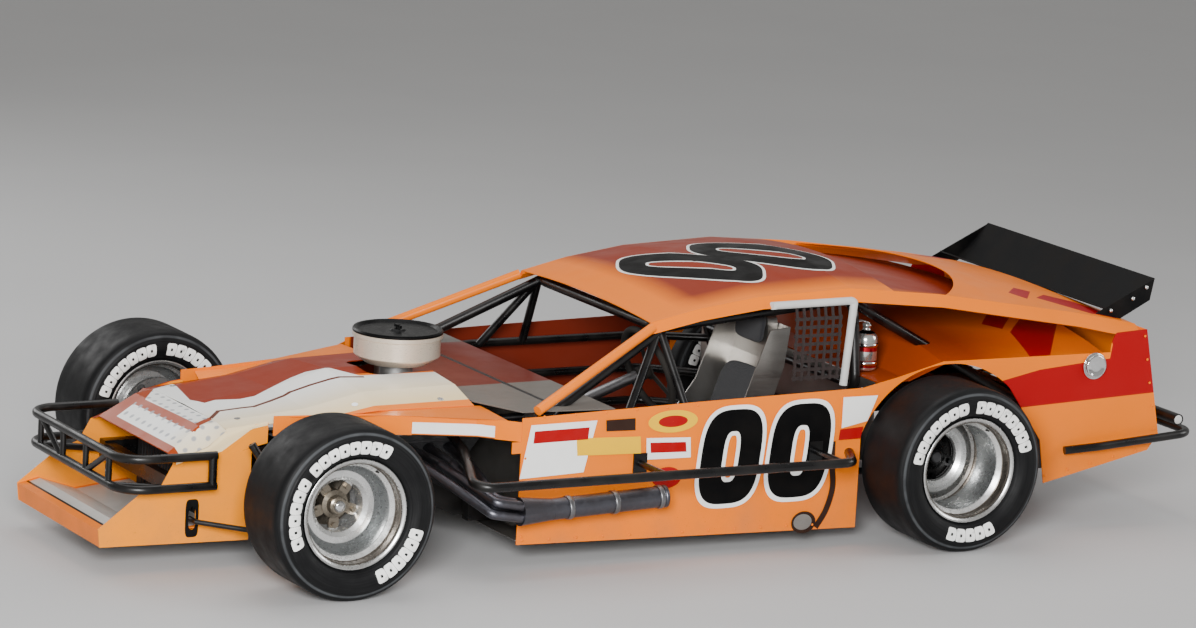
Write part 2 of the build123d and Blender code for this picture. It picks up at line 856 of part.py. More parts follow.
# columns: radius, lower end, height
distributor = ((16, 400, 90), (34, 484, 44), (26, 526, 26))
with BuildPart() as engine_block:
    with BuildSketch(cross_plane(engine_rear_x)):
        with BuildLine():
            Polyline(
                (-100, 130),
                (100, 130),
                (145, 215),
                (160, 290),
                (285, 405),
                (215, 490),
                (100, 405),
                (-100, 405),
                (-215, 490),
                (-285, 405),
                (-160, 290),
                (-145, 215),
                close=True,
            )
        make_face()
    extrude(amount=engine_length)
    block(
        (engine_centre_x - 30, rail_width / 2 - clip_rail_y, 270),
        (engine_centre_x + 30, clip_rail_y - rail_width / 2, 300),
    )
    with BuildSketch(Plane((engine_front_x, 0, crank_height), x_dir=(0, 1, 0), z_dir=(1, 0, 0))):
        Circle(85)
    extrude(amount=70)
    for y, z, radius, reach in accessories:
        with BuildSketch(Plane((engine_front_x, y, z), x_dir=(0, 1, 0), z_dir=(1, 0, 0))):
            Circle(radius)
        extrude(amount=reach)
    for radius, low_z, height in distributor:
        with Locations((engine_rear_x + 38, 0, low_z)):
            Cylinder(radius, height, align=(Align.CENTER, Align.CENTER, Align.MIN))
    with BuildSketch(Plane((engine_rear_x, 0, crank_height), x_dir=(0, 1, 0), z_dir=(-1, 0, 0))):
        Circle(150)
    with BuildSketch(Plane((engine_rear_x - 180, 0, crank_height), x_dir=(0, 1, 0), z_dir=(-1, 0, 0))):
        Circle(95)
    loft()
engine_block.part.label = "engine_block"
export_step(engine_block.part, "parts/engine_block.step")

# Valve covers with ribs along the top and a breather each
with BuildPart() as valve_covers:
    for sign in (1, -1):
        cover_plane = Plane(
            (engine_centre_x, sign * 250, 447.5), x_dir=(1, 0, 0), z_dir=(0, sign * 85, 70)
        )
        with BuildSketch(cover_plane):
            Rectangle(470, 96)
        extrude(amount=60)
    fillet(valve_covers.edges().filter_by(Axis.X), radius=10)
    for sign, end in ((1, -1), (-1, 1)):
        cover_plane = Plane(
            (engine_centre_x, sign * 250, 447.5), x_dir=(1, 0, 0), z_dir=(0, sign * 85, 70)
        )
        with BuildSketch(cover_plane.offset(58)):
            with GridLocations(0, 22, 1, 3):
                SlotOverall(400, 7)
        extrude(amount=6)
        with BuildSketch(cover_plane.offset(58)):
            with Locations((end * 195, 0)):
                Circle(20)
        extrude(amount=34)
valve_covers.part.label = "valve_covers"
export_step(valve_covers.part, "parts/valve_covers.step")

with BuildPart() as intake:
    with BuildSketch(Plane((carburettor_x, 0, 405))):
        Rectangle(336, 190)
    with BuildSketch(Plane((carburettor_x, 0, 500))):
        Rectangle(150, 130)
    loft()
    block((carburettor_x - 80, -62, 500), (carburettor_x + 80, 62, 600))
    for end in (-1, 1):
        block(
            (min(carburettor_x + end * 76, carburettor_x + end * 90), -48, 525),
            (max(carburettor_x + end * 76, carburettor_x + end * 90), 48, 572),
        )
    with Locations((carburettor_x, 0, 600)):
        Cylinder(66, air_cleaner_base - 600, align=(Align.CENTER, Align.CENTER, Align.MIN))
intake.part.label = "intake"
export_step(intake.part, "parts/intake.step")

# Air cleaner: base pan, drum, lid with a rolled rim and the nut on its stud.
# columns: radius, height above the base
air_cleaner_section = (
    (0, 0),
    (air_cleaner_radius - 52, 0),
    (air_cleaner_radius - 14, 26),
    (air_cleaner_radius - 8, 32),
    (air_cleaner_radius - 8, air_cleaner_height - 34),
    (air_cleaner_radius, air_cleaner_height - 30),
    (air_cleaner_radius, air_cleaner_height - 6),
    (air_cleaner_radius - 5, air_cleaner_height),
    (air_cleaner_radius - 14, air_cleaner_height),
    (air_cleaner_radius - 24, air_cleaner_height - 9),
    (34, air_cleaner_height - 9),
    (26, air_cleaner_height - 3),
    (9, air_cleaner_height - 3),
    (9, air_cleaner_height + 14),
    (0, air_cleaner_height + 14),
)
with BuildPart() as air_cleaner:
    with BuildSketch(Plane((carburettor_x, 0, air_cleaner_base), x_dir=(1, 0, 0), z_dir=(0, -1, 0))):
        with BuildLine():
            Polyline(*air_cleaner_section, close=True)
        make_face()
    revolve(axis=Axis((carburettor_x, 0, 0), (0, 0, 1)))
    with Locations((carburettor_x, 0, air_cleaner_base + air_cleaner_height + 6)):
        Box(8, 52, 12)
air_cleaner.part.label = "air_cleaner"
export_step(air_cleaner.part, "parts/air_cleaner.step")

# Exhaust: four primaries a side, a collector and a side pipe.
# columns: port from the engine's centre, knee from the engine's centre, row and column in the collector
primaries = (
    (-135, -70, 22, -22),
    (-45, 0, -22, -22),
    (45, 50, 22, 22),
    (135, 125, -22, 22),
)
port_z = 378
collector_x = cowl_x + 20
exhaust_z = 252
bracket_x = cowl_x - 388
with BuildPart() as headers:
    for side, sign in sides:
        for port, knee, row, column in primaries:
            tube(
                [
                    (engine_centre_x + port, sign * 250, port_z),
                    (engine_centre_x + knee, sign * 560, port_z),
                    (collector_x + 110 + 0.2 * knee, sign * (exhaust_y + column - 20), exhaust_z + row + 20),
                    (collector_x, sign * (exhaust_y + column), exhaust_z + row),
                ],
                20,
                28,
            )
        with BuildSketch(cross_plane(collector_x + 20)):
            with Locations((sign * exhaust_y, exhaust_z)):
                Circle(56)
        with BuildSketch(cross_plane(collector_x - 120)):
            with Locations((sign * exhaust_y, exhaust_z)):
                Circle(42)
        loft()
        tube([(collector_x - 120, sign * exhaust_y, exhaust_z), (cowl_x - 598, sign * exhaust_y, exhaust_z + 20)], 42)
        block(
            (bracket_x, min(sign * body_half_width, sign * exhaust_y), exhaust_z),
            (bracket_x + 30, max(sign * body_half_width, sign * exhaust_y), exhaust_z + 14),
        )
    add(engine_block.part, mode=Mode.SUBTRACT)
headers.part.label = "headers"
export_step(headers.part, "parts/headers.step")

# Gearbox and propeller shaft
with BuildPart() as gearbox:
    with BuildSketch(cross_plane(engine_rear_x - 181)):
        with Locations((0, crank_height)):
            RectangleRounded(180, 180, 40)
    extrude(amount=-420)
    with BuildSketch(cross_plane(engine_rear_x - 601)):
        with Locations((0, crank_height)):
            Circle(45)
    extrude(amount=-160)
gearbox.part.label = "gearbox"
export_step(gearbox.part, "parts/gearbox.step")

# Wheel discs and the brake discs that turn with them, as offsets outward from the wheel's centre plane
front_disc_offset = -10
rear_disc_offset = -119
front_brake_offset = -118
rear_brake_offset = -163
brake_disc_radius = 136
brake_disc_width = 18


def caliper(x, sign, brake_offset, bracket_y):
    """Two pads and the bridge over the brake disc, on a bracket that starts at bracket_y."""
    brake_disc_y = wheel_centre_y + brake_offset
    bridge_x = x - brake_disc_radius - running_gap - 2
    pad_x = x - brake_disc_radius + 24
    slot_y = (brake_disc_y - running_gap, brake_disc_y + brake_disc_width + running_gap)
    inner_y = slot_y[0] - 18
    outer_y = slot_y[1] + 18
    for low_y, high_y, high_x in (
        (inner_y, slot_y[0], pad_x),
        (slot_y[1], outer_y, pad_x),
        (inner_y, outer_y, bridge_x),
    ):
        block(
            (bridge_x - 10, min(sign * low_y, sign * high_y), axle_z - 42),
            (high_x, max(sign * low_y, sign * high_y), axle_z + 42),
        )
    block(
        (pad_x - 18, min(sign * bracket_y, sign * (inner_y + 6)), axle_z - 20),
        (x, max(sign * bracket_y, sign * (inner_y + 6)), axle_z + 20),
    )


# Rear axle: quick-change centre section, tubes, snouts and calipers
with BuildPart() as rear_axle:
    with Locations((rear_x, 0, axle_z)):
        Cylinder(140, 200, rotation=(90, 0, 0))
        Cylinder(40, 2 * 720, rotation=(90, 0, 0))
        Cylinder(28, 2 * (wheel_centre_y + rear_disc_offset - 10), rotation=(90, 0, 0))
    with Locations((rear_x + 140, 0, axle_z)):
        Box(180, 120, 130)
    for sign in (1, -1):
        block(
            (rear_x - 14, min(sign * 400, sign * 416), axle_z - 160),
            (rear_x + 14, max(sign * 400, sign * 416), axle_z + 60),
        )
        caliper(rear_x, sign, rear_brake_offset, 680)
rear_axle.part.label = "rear_axle"
export_step(rear_axle.part, "parts/rear_axle.step")

with BuildPart() as driveshaft:
    tube([(engine_rear_x - 755, 0, crank_height), (rear_x + 225, 0, axle_z)], 38)
    add(gearbox.part, mode=Mode.SUBTRACT)
    add(rear_axle.part, mode=Mode.SUBTRACT)
driveshaft.part.label = "driveshaft"
export_step(driveshaft.part, "parts/driveshaft.step")

# Rear trailing arms and coil-over springs
with BuildPart() as rear_links:
    for sign in (1, -1):
        tube([(rear_x + 20, sign * 408, axle_z - 140), (rear_x + 520, sign * 408, 200)], 14)
        with BuildSketch(Plane((rear_x - 90, sign * 560, 300))):
            Circle(45)
        extrude(amount=150)
        tube([(rear_x - 90, sign * 560, 230), (rear_x - 90, sign * 560, 560)], 16)
        block(
            (rear_x - 110, min(sign * 486, sign * 580), 545),
            (rear_x - 70, max(sign * 486, sign * 580), 570),
        )
    add(rear_axle.part, mode=Mode.SUBTRACT)
    add(frame_rails.part, mode=Mode.SUBTRACT)
rear_links.part.label = "rear_links"
export_step(rear_links.part, "parts/rear_links.step")

# Front bumper: double tube loop with cross braces and mounts on the frame
bumper_y = 470
bumper_x = front_x + 692
bumper_upper_z = 452
bumper_lower_z = 334
with BuildPart() as front_bumper:
    for z in (bumper_upper_z, bumper_lower_z):
        tube(
            [
                (front_x + 310, -bumper_y, z),
                (bumper_x, -bumper_y, z),
                (bumper_x, bumper_y, z),
                (front_x + 310, bumper_y, z),
            ],
            brace_radius,
            110,
        )
    for y in (-330, -110, 110, 330):
        tube([(bumper_x, y, bumper_lower_z), (bumper_x, y, bumper_upper_z)], 12)
    for y in (-110, 110):
        tube([(bumper_x, y, bumper_lower_z), (bumper_x, 3 * y, bumper_upper_z)], 12)
    for sign in (1, -1):
        tube(
            [(front_x + 325, sign * bumper_y, bumper_lower_z), (front_x + 325, sign * bumper_y, bumper_upper_z)],
            brace_radius,
        )
        tube([(bumper_x, sign * clip_rail_y, bumper_lower_z), (front_x + 410, sign * clip_rail_y, 300)], 14)
    add(frame_rails.part, mode=Mode.SUBTRACT)
front_bumper.part.label = "front_bumper"
export_step(front_bumper.part, "parts/front_bumper.step")

# Rear bumper: a loop round the tail with a larger bar on top of it, open at its ends
push_bar_radius = 24
push_bar_half_width = body_half_width - 40
rear_bumper_x = rear_x - rear_overhang + brace_radius
rear_bumper_y = body_half_width + 52
with BuildPart() as rear_bumper:
    tube(
        [
            (rear_x - 620, 32 - rear_bumper_y, 325),
            (rear_x - 760, -rear_bumper_y, 340),
            (rear_bumper_x, -rear_bumper_y, 372),
            (rear_bumper_x, rear_bumper_y, 372),
            (rear_x - 760, rear_bumper_y, 340),
            (rear_x - 620, rear_bumper_y - 32, 325),
        ],
        brace_radius,
        70,
    )
    for sign in (1, -1):
        tube([(rear_bumper_x, sign * rail_y, 372), (rear_x - 950, sign * rail_y, 362)], 14)
    tube(
        [(rear_bumper_x + 7, -push_bar_half_width, 406), (rear_bumper_x + 7, push_bar_half_width, 406)],
        push_bar_radius,
    )
    with Locations((rear_bumper_x + 7, 0, 406)):
        Cylinder(
            push_bar_radius - skin,
            2 * push_bar_half_width,
            rotation=(90, 0, 0),
            mode=Mode.SUBTRACT,
        )
    add(frame_rails.part, mode=Mode.SUBTRACT)
rear_bumper.part.label = "rear_bumper"
export_step(rear_bumper.part, "parts/rear_bumper.step")

# Side bars outside the doors
side_bar_z = 390
side_bar_brackets = (door_rear_x + 208, cowl_x - 528)
with BuildPart() as side_bars:
    for side, sign in sides:
        tube(
            [
                (door_rear_x + 88, sign * (body_half_width + 60), side_bar_z),
                (door_rear_x + 168, sign * side_bar_y, side_bar_z),
                (cowl_x + 310, sign * side_bar_y, side_bar_z),
                (cowl_x + 170, sign * 640, side_bar_z + 55),
                (cowl_x + 175, sign * 500, side_bar_z + 110),
            ],
            brace_radius + 2,
            60,
        )
        for x in side_bar_brackets:
            tube([(x, sign * body_half_width, side_bar_z), (x, sign * side_bar_y, side_bar_z)], 13)
            block(
                (x - 30, min(sign * body_half_width, sign * (body_half_width + 6)), side_bar_z - 40),
                (x + 30, max(sign * body_half_width, sign * (body_half_width + 6)), side_bar_z + 40),
            )
    add(engine_bars.part, mode=Mode.SUBTRACT)
side_bars.part.label = "side_bars"
export_step(side_bars.part, "parts/side_bars.step")

# Front suspension arms, ball joint bosses and coil-overs, both sides
lower_ball_z = 215
upper_ball_z = 430
tie_rod_z = 235
upright_low_z = lower_ball_z + 22 + running_gap
upright_high_z = upper_ball_z - 18 - running_gap
with BuildPart() as front_arms:
    for sign in (1, -1):
        tube(
            [
                (front_x + 115, sign * 380, 205),
                (front_x, sign * steering_axis_y, lower_ball_z),
                (front_x - 85, sign * 380, 205),
            ],
            14,
        )
        tube(
            [
                (front_x + 85, sign * 385, 415),
                (front_x, sign * steering_axis_y, upper_ball_z),
                (front_x - 85, sign * 385, 415),
            ],
            12,
        )
        with Locations((front_x, sign * steering_axis_y, lower_ball_z)):
            Cylinder(26, 44)
        with Locations((front_x, sign * steering_axis_y, upper_ball_z)):
            Cylinder(22, 36)
        with Locations((front_x, sign * steering_axis_y, (upright_low_z + upright_high_z) / 2)):
            Cylinder(9, upper_ball_z - lower_ball_z)
        tube([(front_x + 30, sign * 600, 225), (front_x + 190, sign * 520, 500)], 16)
        tube([(front_x + 60, sign * 585, 277), (front_x + 150, sign * 540, 431)], 32)
        tube([(front_x + 190, sign * 520, 490), (front_x + 80, sign * 370, 400)], 12)
        tube(
            [
                (front_x + 372, sign * 380, 190),
                (front_x + 372, sign * 440, 190),
                (front_x + 120, sign * 520, 150),
                (front_x + 40, sign * 560, 205),
            ],
            10,
        )
    add(frame_rails.part, mode=Mode.SUBTRACT)
front_arms.part.label = "front_arms"
export_step(front_arms.part, "parts/front_arms.step")

# Steering knuckles: upright, spindle and the arm behind the axle
for side, sign in sides:
    with BuildPart() as knuckle:
        block(
            (front_x - 32, min(sign * 672, sign * 728), upright_low_z),
            (front_x + 32, max(sign * 672, sign * 728), upright_high_z),
        )
        with BuildSketch(Plane((front_x, sign * 728, axle_z), x_dir=(1, 0, 0), z_dir=(0, sign, 0))):
            Circle(40)
        extrude(amount=40)
        with BuildSketch(Plane((front_x, sign * 728, axle_z), x_dir=(1, 0, 0), z_dir=(0, sign, 0))):
            Circle(25)
        extrude(amount=wheel_centre_y + front_disc_offset - 10 - 728)
        block(
            (front_x - steering_arm - 20, min(sign * 680, sign * 720), tie_rod_z + 13),
            (front_x - 20, max(sign * 680, sign * 720), tie_rod_z + 33),
        )
        caliper(front_x, sign, front_brake_offset, steering_axis_y + 8)
        with Locations((front_x, sign * steering_axis_y, (upright_low_z + upright_high_z) / 2)):
            Cylinder(9 + pin_gap, upright_high_z - upright_low_z + 2, mode=Mode.SUBTRACT)
    knuckle.part.label = f"{side}_knuckle"
    export_step(knuckle.part, f"parts/{side}_knuckle.step")

with BuildPart() as tie_rod:
    tube(
        [(front_x - steering_arm, -steering_axis_y, tie_rod_z), (front_x - steering_arm, steering_axis_y, tie_rod_z)],
        10,
    )
    for sign in (1, -1):
        with Locations((front_x - steering_arm, sign * steering_axis_y, tie_rod_z)):
            Cylinder(18, 24)
tie_rod.part.label = "tie_rod"
export_step(tie_rod.part, "parts/tie_rod.step")

# Tyres and wheels, columns: name, axle x, side sign, disc offset, brake offset, snout radius, well depth
wheels = (
    ("left_front", front_x, 1, front_disc_offset, front_brake_offset, 25, 44),
    ("right_front", front_x, -1, front_disc_offset, front_brake_offset, 25, 44),
    ("left_rear", rear_x, 1, rear_disc_offset, rear_brake_offset, 28, 20),
    ("right_rear", rear_x, -1, rear_disc_offset, rear_brake_offset, 28, 20),
)
well_radius = 100
lug_count = 5
lug_circle = 82
hub_radius = 54
shoulder_round = 40
rim_wall = 5
half_width = tyre_width / 2
rim_half = rim_width / 2
bead_seat = rim_radius - 14 + rim_wall / 2
bead = rim_half - 14
barrel_radius = rim_radius - 34
for name, x, sign, disc_offset, brake_offset, snout, well in wheels:
    hub_inner = brake_offset - 2
    flange_face = disc_offset - well + 12
    wheel_origin = (x, sign * wheel_centre_y, axle_z)
    section_plane = Plane(wheel_origin, x_dir=(0, sign, 0), z_dir=(sign, 0, 0))
    spin_axis = Axis(wheel_origin, (0, 1, 0))
    with BuildPart() as tyre:
        with BuildSketch(section_plane) as carcass:
            with BuildLine():
                Polyline(
                    (-bead, bead_seat),
                    (-bead, rim_radius + 6),
                    (-half_width, rim_radius + 40),
                    (-half_width, tyre_radius - 42),
                    (-half_width + 34, tyre_radius),
                    (half_width - 34, tyre_radius),
                    (half_width, tyre_radius - 42),
                    (half_width, rim_radius + 40),
                    (bead, rim_radius + 6),
                    (bead, bead_seat),
                    (bead - 14, bead_seat),
                    (half_width - 14, rim_radius + 44),
                    (half_width - 44, tyre_radius - 14),
                    (-half_width + 44, tyre_radius - 14),
                    (-half_width + 14, rim_radius + 44),
                    (-bead + 14, bead_seat),
                    close=True,
                )
            make_face()
            fillet([v for v in carcass.vertices() if v.Y > rim_radius + 30], radius=shoulder_round)
        revolve(axis=spin_axis)
    tyre.part.label = f"{name}_tyre"
    export_step(tyre.part, f"parts/{name}_tyre.step")

    with BuildPart() as wheel:
        with BuildSketch(section_plane):
            with BuildLine():
                Polyline(
                    (-rim_half, rim_radius),
                    (-rim_half + 6, rim_radius - 2),
                    (-rim_half + 10, rim_radius - 14),
                    (-rim_half + 45, rim_radius - 14),
                    (-rim_half + 65, barrel_radius),
                    (rim_half - 65, barrel_radius),
                    (rim_half - 45, rim_radius - 14),
                    (rim_half - 10, rim_radius - 14),
                    (rim_half - 6, rim_radius - 2),
                    (rim_half, rim_radius),
                )
            trace(line_width=rim_wall)
            with BuildLine():
                Polyline(
                    (disc_offset, barrel_radius - 2),
                    (disc_offset + 14, barrel_radius - 34),
                    (disc_offset + 14, well_radius + 18),
                    (disc_offset + 2, well_radius + 4),
                    (disc_offset - well, well_radius),
                )
            trace(line_width=7)
            with BuildLine():
                Polyline(
                    (hub_inner, snout + pin_gap),
                    (hub_inner, hub_radius),
                    (flange_face + 4, hub_radius),
                    (flange_face + 10, hub_radius - 16),
                    (disc_offset + 6, hub_radius - 18),
                    (disc_offset + 10, hub_radius - 24),
                    (disc_offset + 10, 0),
                    (disc_offset - 5, 0),
                    (disc_offset - 5, snout + pin_gap),
                    close=True,
                )
            make_face()
            with BuildLine():
                Polyline(
                    (brake_offset, hub_radius - 4),
                    (brake_offset, brake_disc_radius),
                    (brake_offset + brake_disc_width, brake_disc_radius),
                    (brake_offset + brake_disc_width, hub_radius - 4),
                    close=True,
                )
            make_face()
        revolve(axis=spin_axis)
        flange_plane = Plane(
            (x, sign * (wheel_centre_y + flange_face - 12), axle_z), x_dir=(1, 0, 0), z_dir=(0, sign, 0)
        )
        with BuildSketch(flange_plane):
            with PolarLocations((hub_radius + well_radius) / 2 - 4, lug_count, start_angle=90):
                SlotOverall(well_radius - hub_radius + 12, 42)
        extrude(amount=12)
        with BuildSketch(flange_plane.offset(12)):
            with PolarLocations(lug_circle, lug_count, start_angle=90):
                RegularPolygon(12, 6)
        extrude(amount=12)
    wheel.part.label = f"{name}_wheel"
    export_step(wheel.part, f"parts/{name}_wheel.step")
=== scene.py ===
import math

import bpy
import numpy as np
from mathutils import Matrix, Vector


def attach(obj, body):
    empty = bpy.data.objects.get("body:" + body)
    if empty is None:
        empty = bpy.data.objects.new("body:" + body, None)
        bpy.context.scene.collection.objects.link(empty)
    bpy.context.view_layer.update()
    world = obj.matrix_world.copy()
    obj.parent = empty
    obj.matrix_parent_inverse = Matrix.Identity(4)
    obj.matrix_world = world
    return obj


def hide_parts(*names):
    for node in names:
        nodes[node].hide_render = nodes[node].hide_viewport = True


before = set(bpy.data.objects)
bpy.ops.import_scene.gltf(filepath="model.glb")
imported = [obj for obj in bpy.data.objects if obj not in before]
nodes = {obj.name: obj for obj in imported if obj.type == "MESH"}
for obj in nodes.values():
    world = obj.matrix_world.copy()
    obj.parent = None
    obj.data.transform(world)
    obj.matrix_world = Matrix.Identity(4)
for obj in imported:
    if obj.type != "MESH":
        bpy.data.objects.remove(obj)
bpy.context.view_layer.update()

# Places on the car in metres: +X forward, +Y left, +Z up
frontX = 1.603
rearX = -1.115
wheelY = 0.905
axleZ = 0.335
sideY = 0.780
sideFace = sideY + 0.004  # outer face of the side panels
wheelPlaces = {
    "left_front": (frontX, wheelY, 1),
    "right_front": (frontX, -wheelY, -1),
    "left_rear": (rearX, wheelY, 1),
    "right_rear": (rearX, -wheelY, -1),
}
sides = {"Left": 1, "Right": -1}

cameraLook = {
    "place": (10.0495, 17.8002, 4.8595),
    "forward": (-0.48120, -0.85483, -0.19418),
    "roll": 3.22,
    "lens": 155.62,
}

colours = {
    "orange": (0.94, 0.205, 0.0),
    # painted highlight: the orange paint made lighter on the nose side plates
    "lit orange": (0.95, 0.290, 0.004),
    # painted shade: the orange paint darkened on the nose top and at the front of the inner deck
    "shaded orange": (0.34, 0.042, 0.0),
    # painted shade: the orange paint darkened on the roof and the hood's top
    "shaded roof orange": (0.27, 0.022, 0.001),
    "brown red": (0.15, 0.018, 0.008),
    "seam brown": (0.13, 0.028, 0.010),
    "white": (0.93, 0.93, 0.90),
    # painted warm shade on the white paint towards the car's left
    "cream": (0.90, 0.66, 0.28),
    "red": (0.36, 0.0, 0.003),
    "black": (0.002, 0.002, 0.0022),
    "yellow": (0.90, 0.50, 0.0),
    "dot grey": (0.33, 0.34, 0.37),
    "frame black": (0.002, 0.002, 0.0023),
    "dust": (0.17, 0.14, 0.11),
    "rubber": (0.004, 0.004, 0.0045),
    "rubber scuff": (0.013, 0.0135, 0.014),
    "rubber ring": (0.060, 0.064, 0.068),
    "tin": (0.50, 0.48, 0.45),
    "bare grey": (0.16, 0.145, 0.128),
    "silver": (0.74, 0.74, 0.73),
    "groove": (0.15, 0.13, 0.11),
    "bright step": (0.90, 0.90, 0.89),
    "barrel": (0.36, 0.37, 0.37),
    "hub": (0.22, 0.19, 0.15),
    "steel": (0.26, 0.26, 0.27),
    "exhaust": (0.13, 0.13, 0.15),
    "filter case": (0.80, 0.70, 0.58),
    "cast": (0.075, 0.076, 0.080),
    "webbing": (0.016, 0.008, 0.007),
    "pad": (0.010, 0.0105, 0.013),
    "bottle": (0.42, 0.012, 0.02),
}


# A vector, or each of several in rows, scaled to a length of one
def unitOf(vectors):
    vectors = np.asarray(vectors, float)
    return vectors / np.linalg.norm(vectors, axis=-1, keepdims=True)


# Adds an object with the given data to the scene
def addObject(name, data):
    made = bpy.data.objects.new(name, data)
    bpy.context.scene.collection.objects.link(made)
    return made


# Adds a shader node and gives one of its outputs. A value that is another node's output is linked, any
# other value is set on the socket. The tree is that of a linked value unless it is given.
def addNode(kind, sockets={}, output=0, tree=None, **settings):
    if tree is None:
        tree = next(value.id_data for value in sockets.values() if isinstance(value, bpy.types.NodeSocket))
    newNode = tree.nodes.new("ShaderNode" + kind)
    for key, value in settings.items():
        setattr(newNode, key, value)
    for key, value in sockets.items():
        if isinstance(value, bpy.types.NodeSocket):
            tree.links.new(value, newNode.inputs[key])
        else:
            newNode.inputs[key].default_value = value
    return newNode.outputs[output]


# Mixed colour: first where the factor is 0, second where it is 1
def mixColour(factor, first, second):
    values = {0: factor}
    for key, value in ((6, first), (7, second)):
        values[key] = value if isinstance(value, bpy.types.NodeSocket) else (*value, 1.0)
    return addNode("Mix", values, output=2, data_type="RGBA")


# One value from two: an arithmetic step on numbers or other nodes
def calculate(operation, first, second=0.0):
    return addNode("Math", {0: first, 1: second}, operation=operation)


# A value rescaled from one span to another and held at its ends
def remap(value, low, high, newLow=0.0, newHigh=1.0):
    spans = {"Value": value, "From Min": low, "From Max": high, "To Min": newLow, "To Max": newHigh}
    return addNode("MapRange", spans)


# Product of two values
def multiply(first, second):
    return calculate("MULTIPLY", first, second)


# 1 where a value lies between low and high, 0 outside, with soft edges
def between(value, low, high, soft=0.0008):
    rise = remap(value, low - soft, low + soft)
    fall = remap(value, high - soft, high + soft, 1.0, 0.0)
    return multiply(rise, fall)


# Distance from two offsets at right angles: the root of the sum of their squares
def distanceOf(first, second):
    squares = [calculate("POWER", offset, 2.0) for offset in (first, second)]
    return calculate("SQRT", calculate("ADD", *squares))


# A colour with every channel times a share
def shadeOf(colour, share):
    return [channel * share for channel in colour]


# Noise value from 0 to 1, finer with scale, sampled at a place
def noise(place, scale, detail=3.0):
    return addNode("TexNoise", {"Vector": place, "Scale": scale, "Detail": detail})


# One of the three coordinates of a place: 0 for X, 1 for Y, 2 for Z
def coordinate(place, axis):
    return addNode("SeparateXYZ", {0: place}, output=axis)


# Starts a material and gives it, its shader and the place on the car
def startMaterial(name, colour, roughness, metallic=0.0, coat=0.0):
    material = bpy.data.materials.new(name)
    material.use_nodes = True
    shader = material.node_tree.nodes["Principled BSDF"]
    shader.inputs["Base Color"].default_value = (*colour, 1.0)
    shader.inputs["Roughness"].default_value = roughness
    shader.inputs["Metallic"].default_value = metallic
    shader.inputs["Coat Weight"].default_value = coat
    shader.inputs["Coat Roughness"].default_value = 0.10
    place = addNode("TexCoord", output=3, tree=material.node_tree)
    return material, shader, place


# Links a value to one of the shader's sockets
def feed(shader, socket, value):
    shader.id_data.links.new(value, shader.inputs[socket])


# Feeds a bump of the given depth in metres to the shader
def feedBump(shader, height, depth, strength=1.0):
    bump = addNode("Bump", {"Height": height, "Distance": depth, "Strength": strength})
    feed(shader, "Normal", bump)


edgeBlur = 0.0005  # half the soft edge of a painted area


# A flat polygon as a mask: 1 where the place, seen along the dropped axis, is inside every edge line
def polygonMask(place, points, drop):
    kept = [axis for axis in range(3) if axis != drop]
    centre = np.mean(points, axis=0)
    mask = None
    for start, end in zip(points, points[1:] + points[:1]):
        run = np.subtract(end, start)
        inward = unitOf((-run[1], run[0]))
        if np.dot(inward, np.subtract(centre, start)) < 0:
            inward = -inward
        direction = [0.0, 0.0, 0.0]
        direction[kept[0]], direction[kept[1]] = inward
        along = addNode("VectorMath", {0: place, 1: direction}, output=1, operation="DOT_PRODUCT")
        level = float(np.dot(inward, start))
        edge = remap(along, level - edgeBlur, level + edgeBlur)
        mask = edge if mask is None else multiply(mask, edge)
    return mask


# Quads that follow a line through (a, b) points at the given width, as convex polygons end to end
def lineAreas(tint, drop, points, width):
    areas = []
    for start, end in zip(points, points[1:]):
        along = unitOf(np.subtract(end, start))
        across = np.array((-along[1], along[0])) * width / 2
        reach = along * width / 2
        first, last = start - reach, end + reach
        corners = np.array([first - across, last - across, last + across, first + across])
        areas.append((tint, drop, [tuple(corner) for corner in corners.tolist()]))
    return areas


dotPitch = (0.047, 0.056)  # metres along X and Y


# Lattice of soft dots, every other row shifted by half a step: 1 at a dot's middle, 0 between the dots. Whole
# columns are added so that the count of columns is above 0 everywhere.
def dotLattice(place):
    row = calculate("DIVIDE", coordinate(place, 0), dotPitch[0])
    shift = multiply(calculate("MODULO", calculate("FLOOR", row), 2.0), 0.5)
    column = calculate("ADD", calculate("DIVIDE", coordinate(place, 1), dotPitch[1]), shift)
    column = calculate("ADD", column, 20.0)
    offsets = [calculate("SUBTRACT", calculate("FRACT", spot), 0.5) for spot in (row, column)]
    squares = [calculate("POWER", offset, 2.0) for offset in offsets]
    return remap(calculate("ADD", *squares), 0.018, 0.060, 0.85, 0.0)
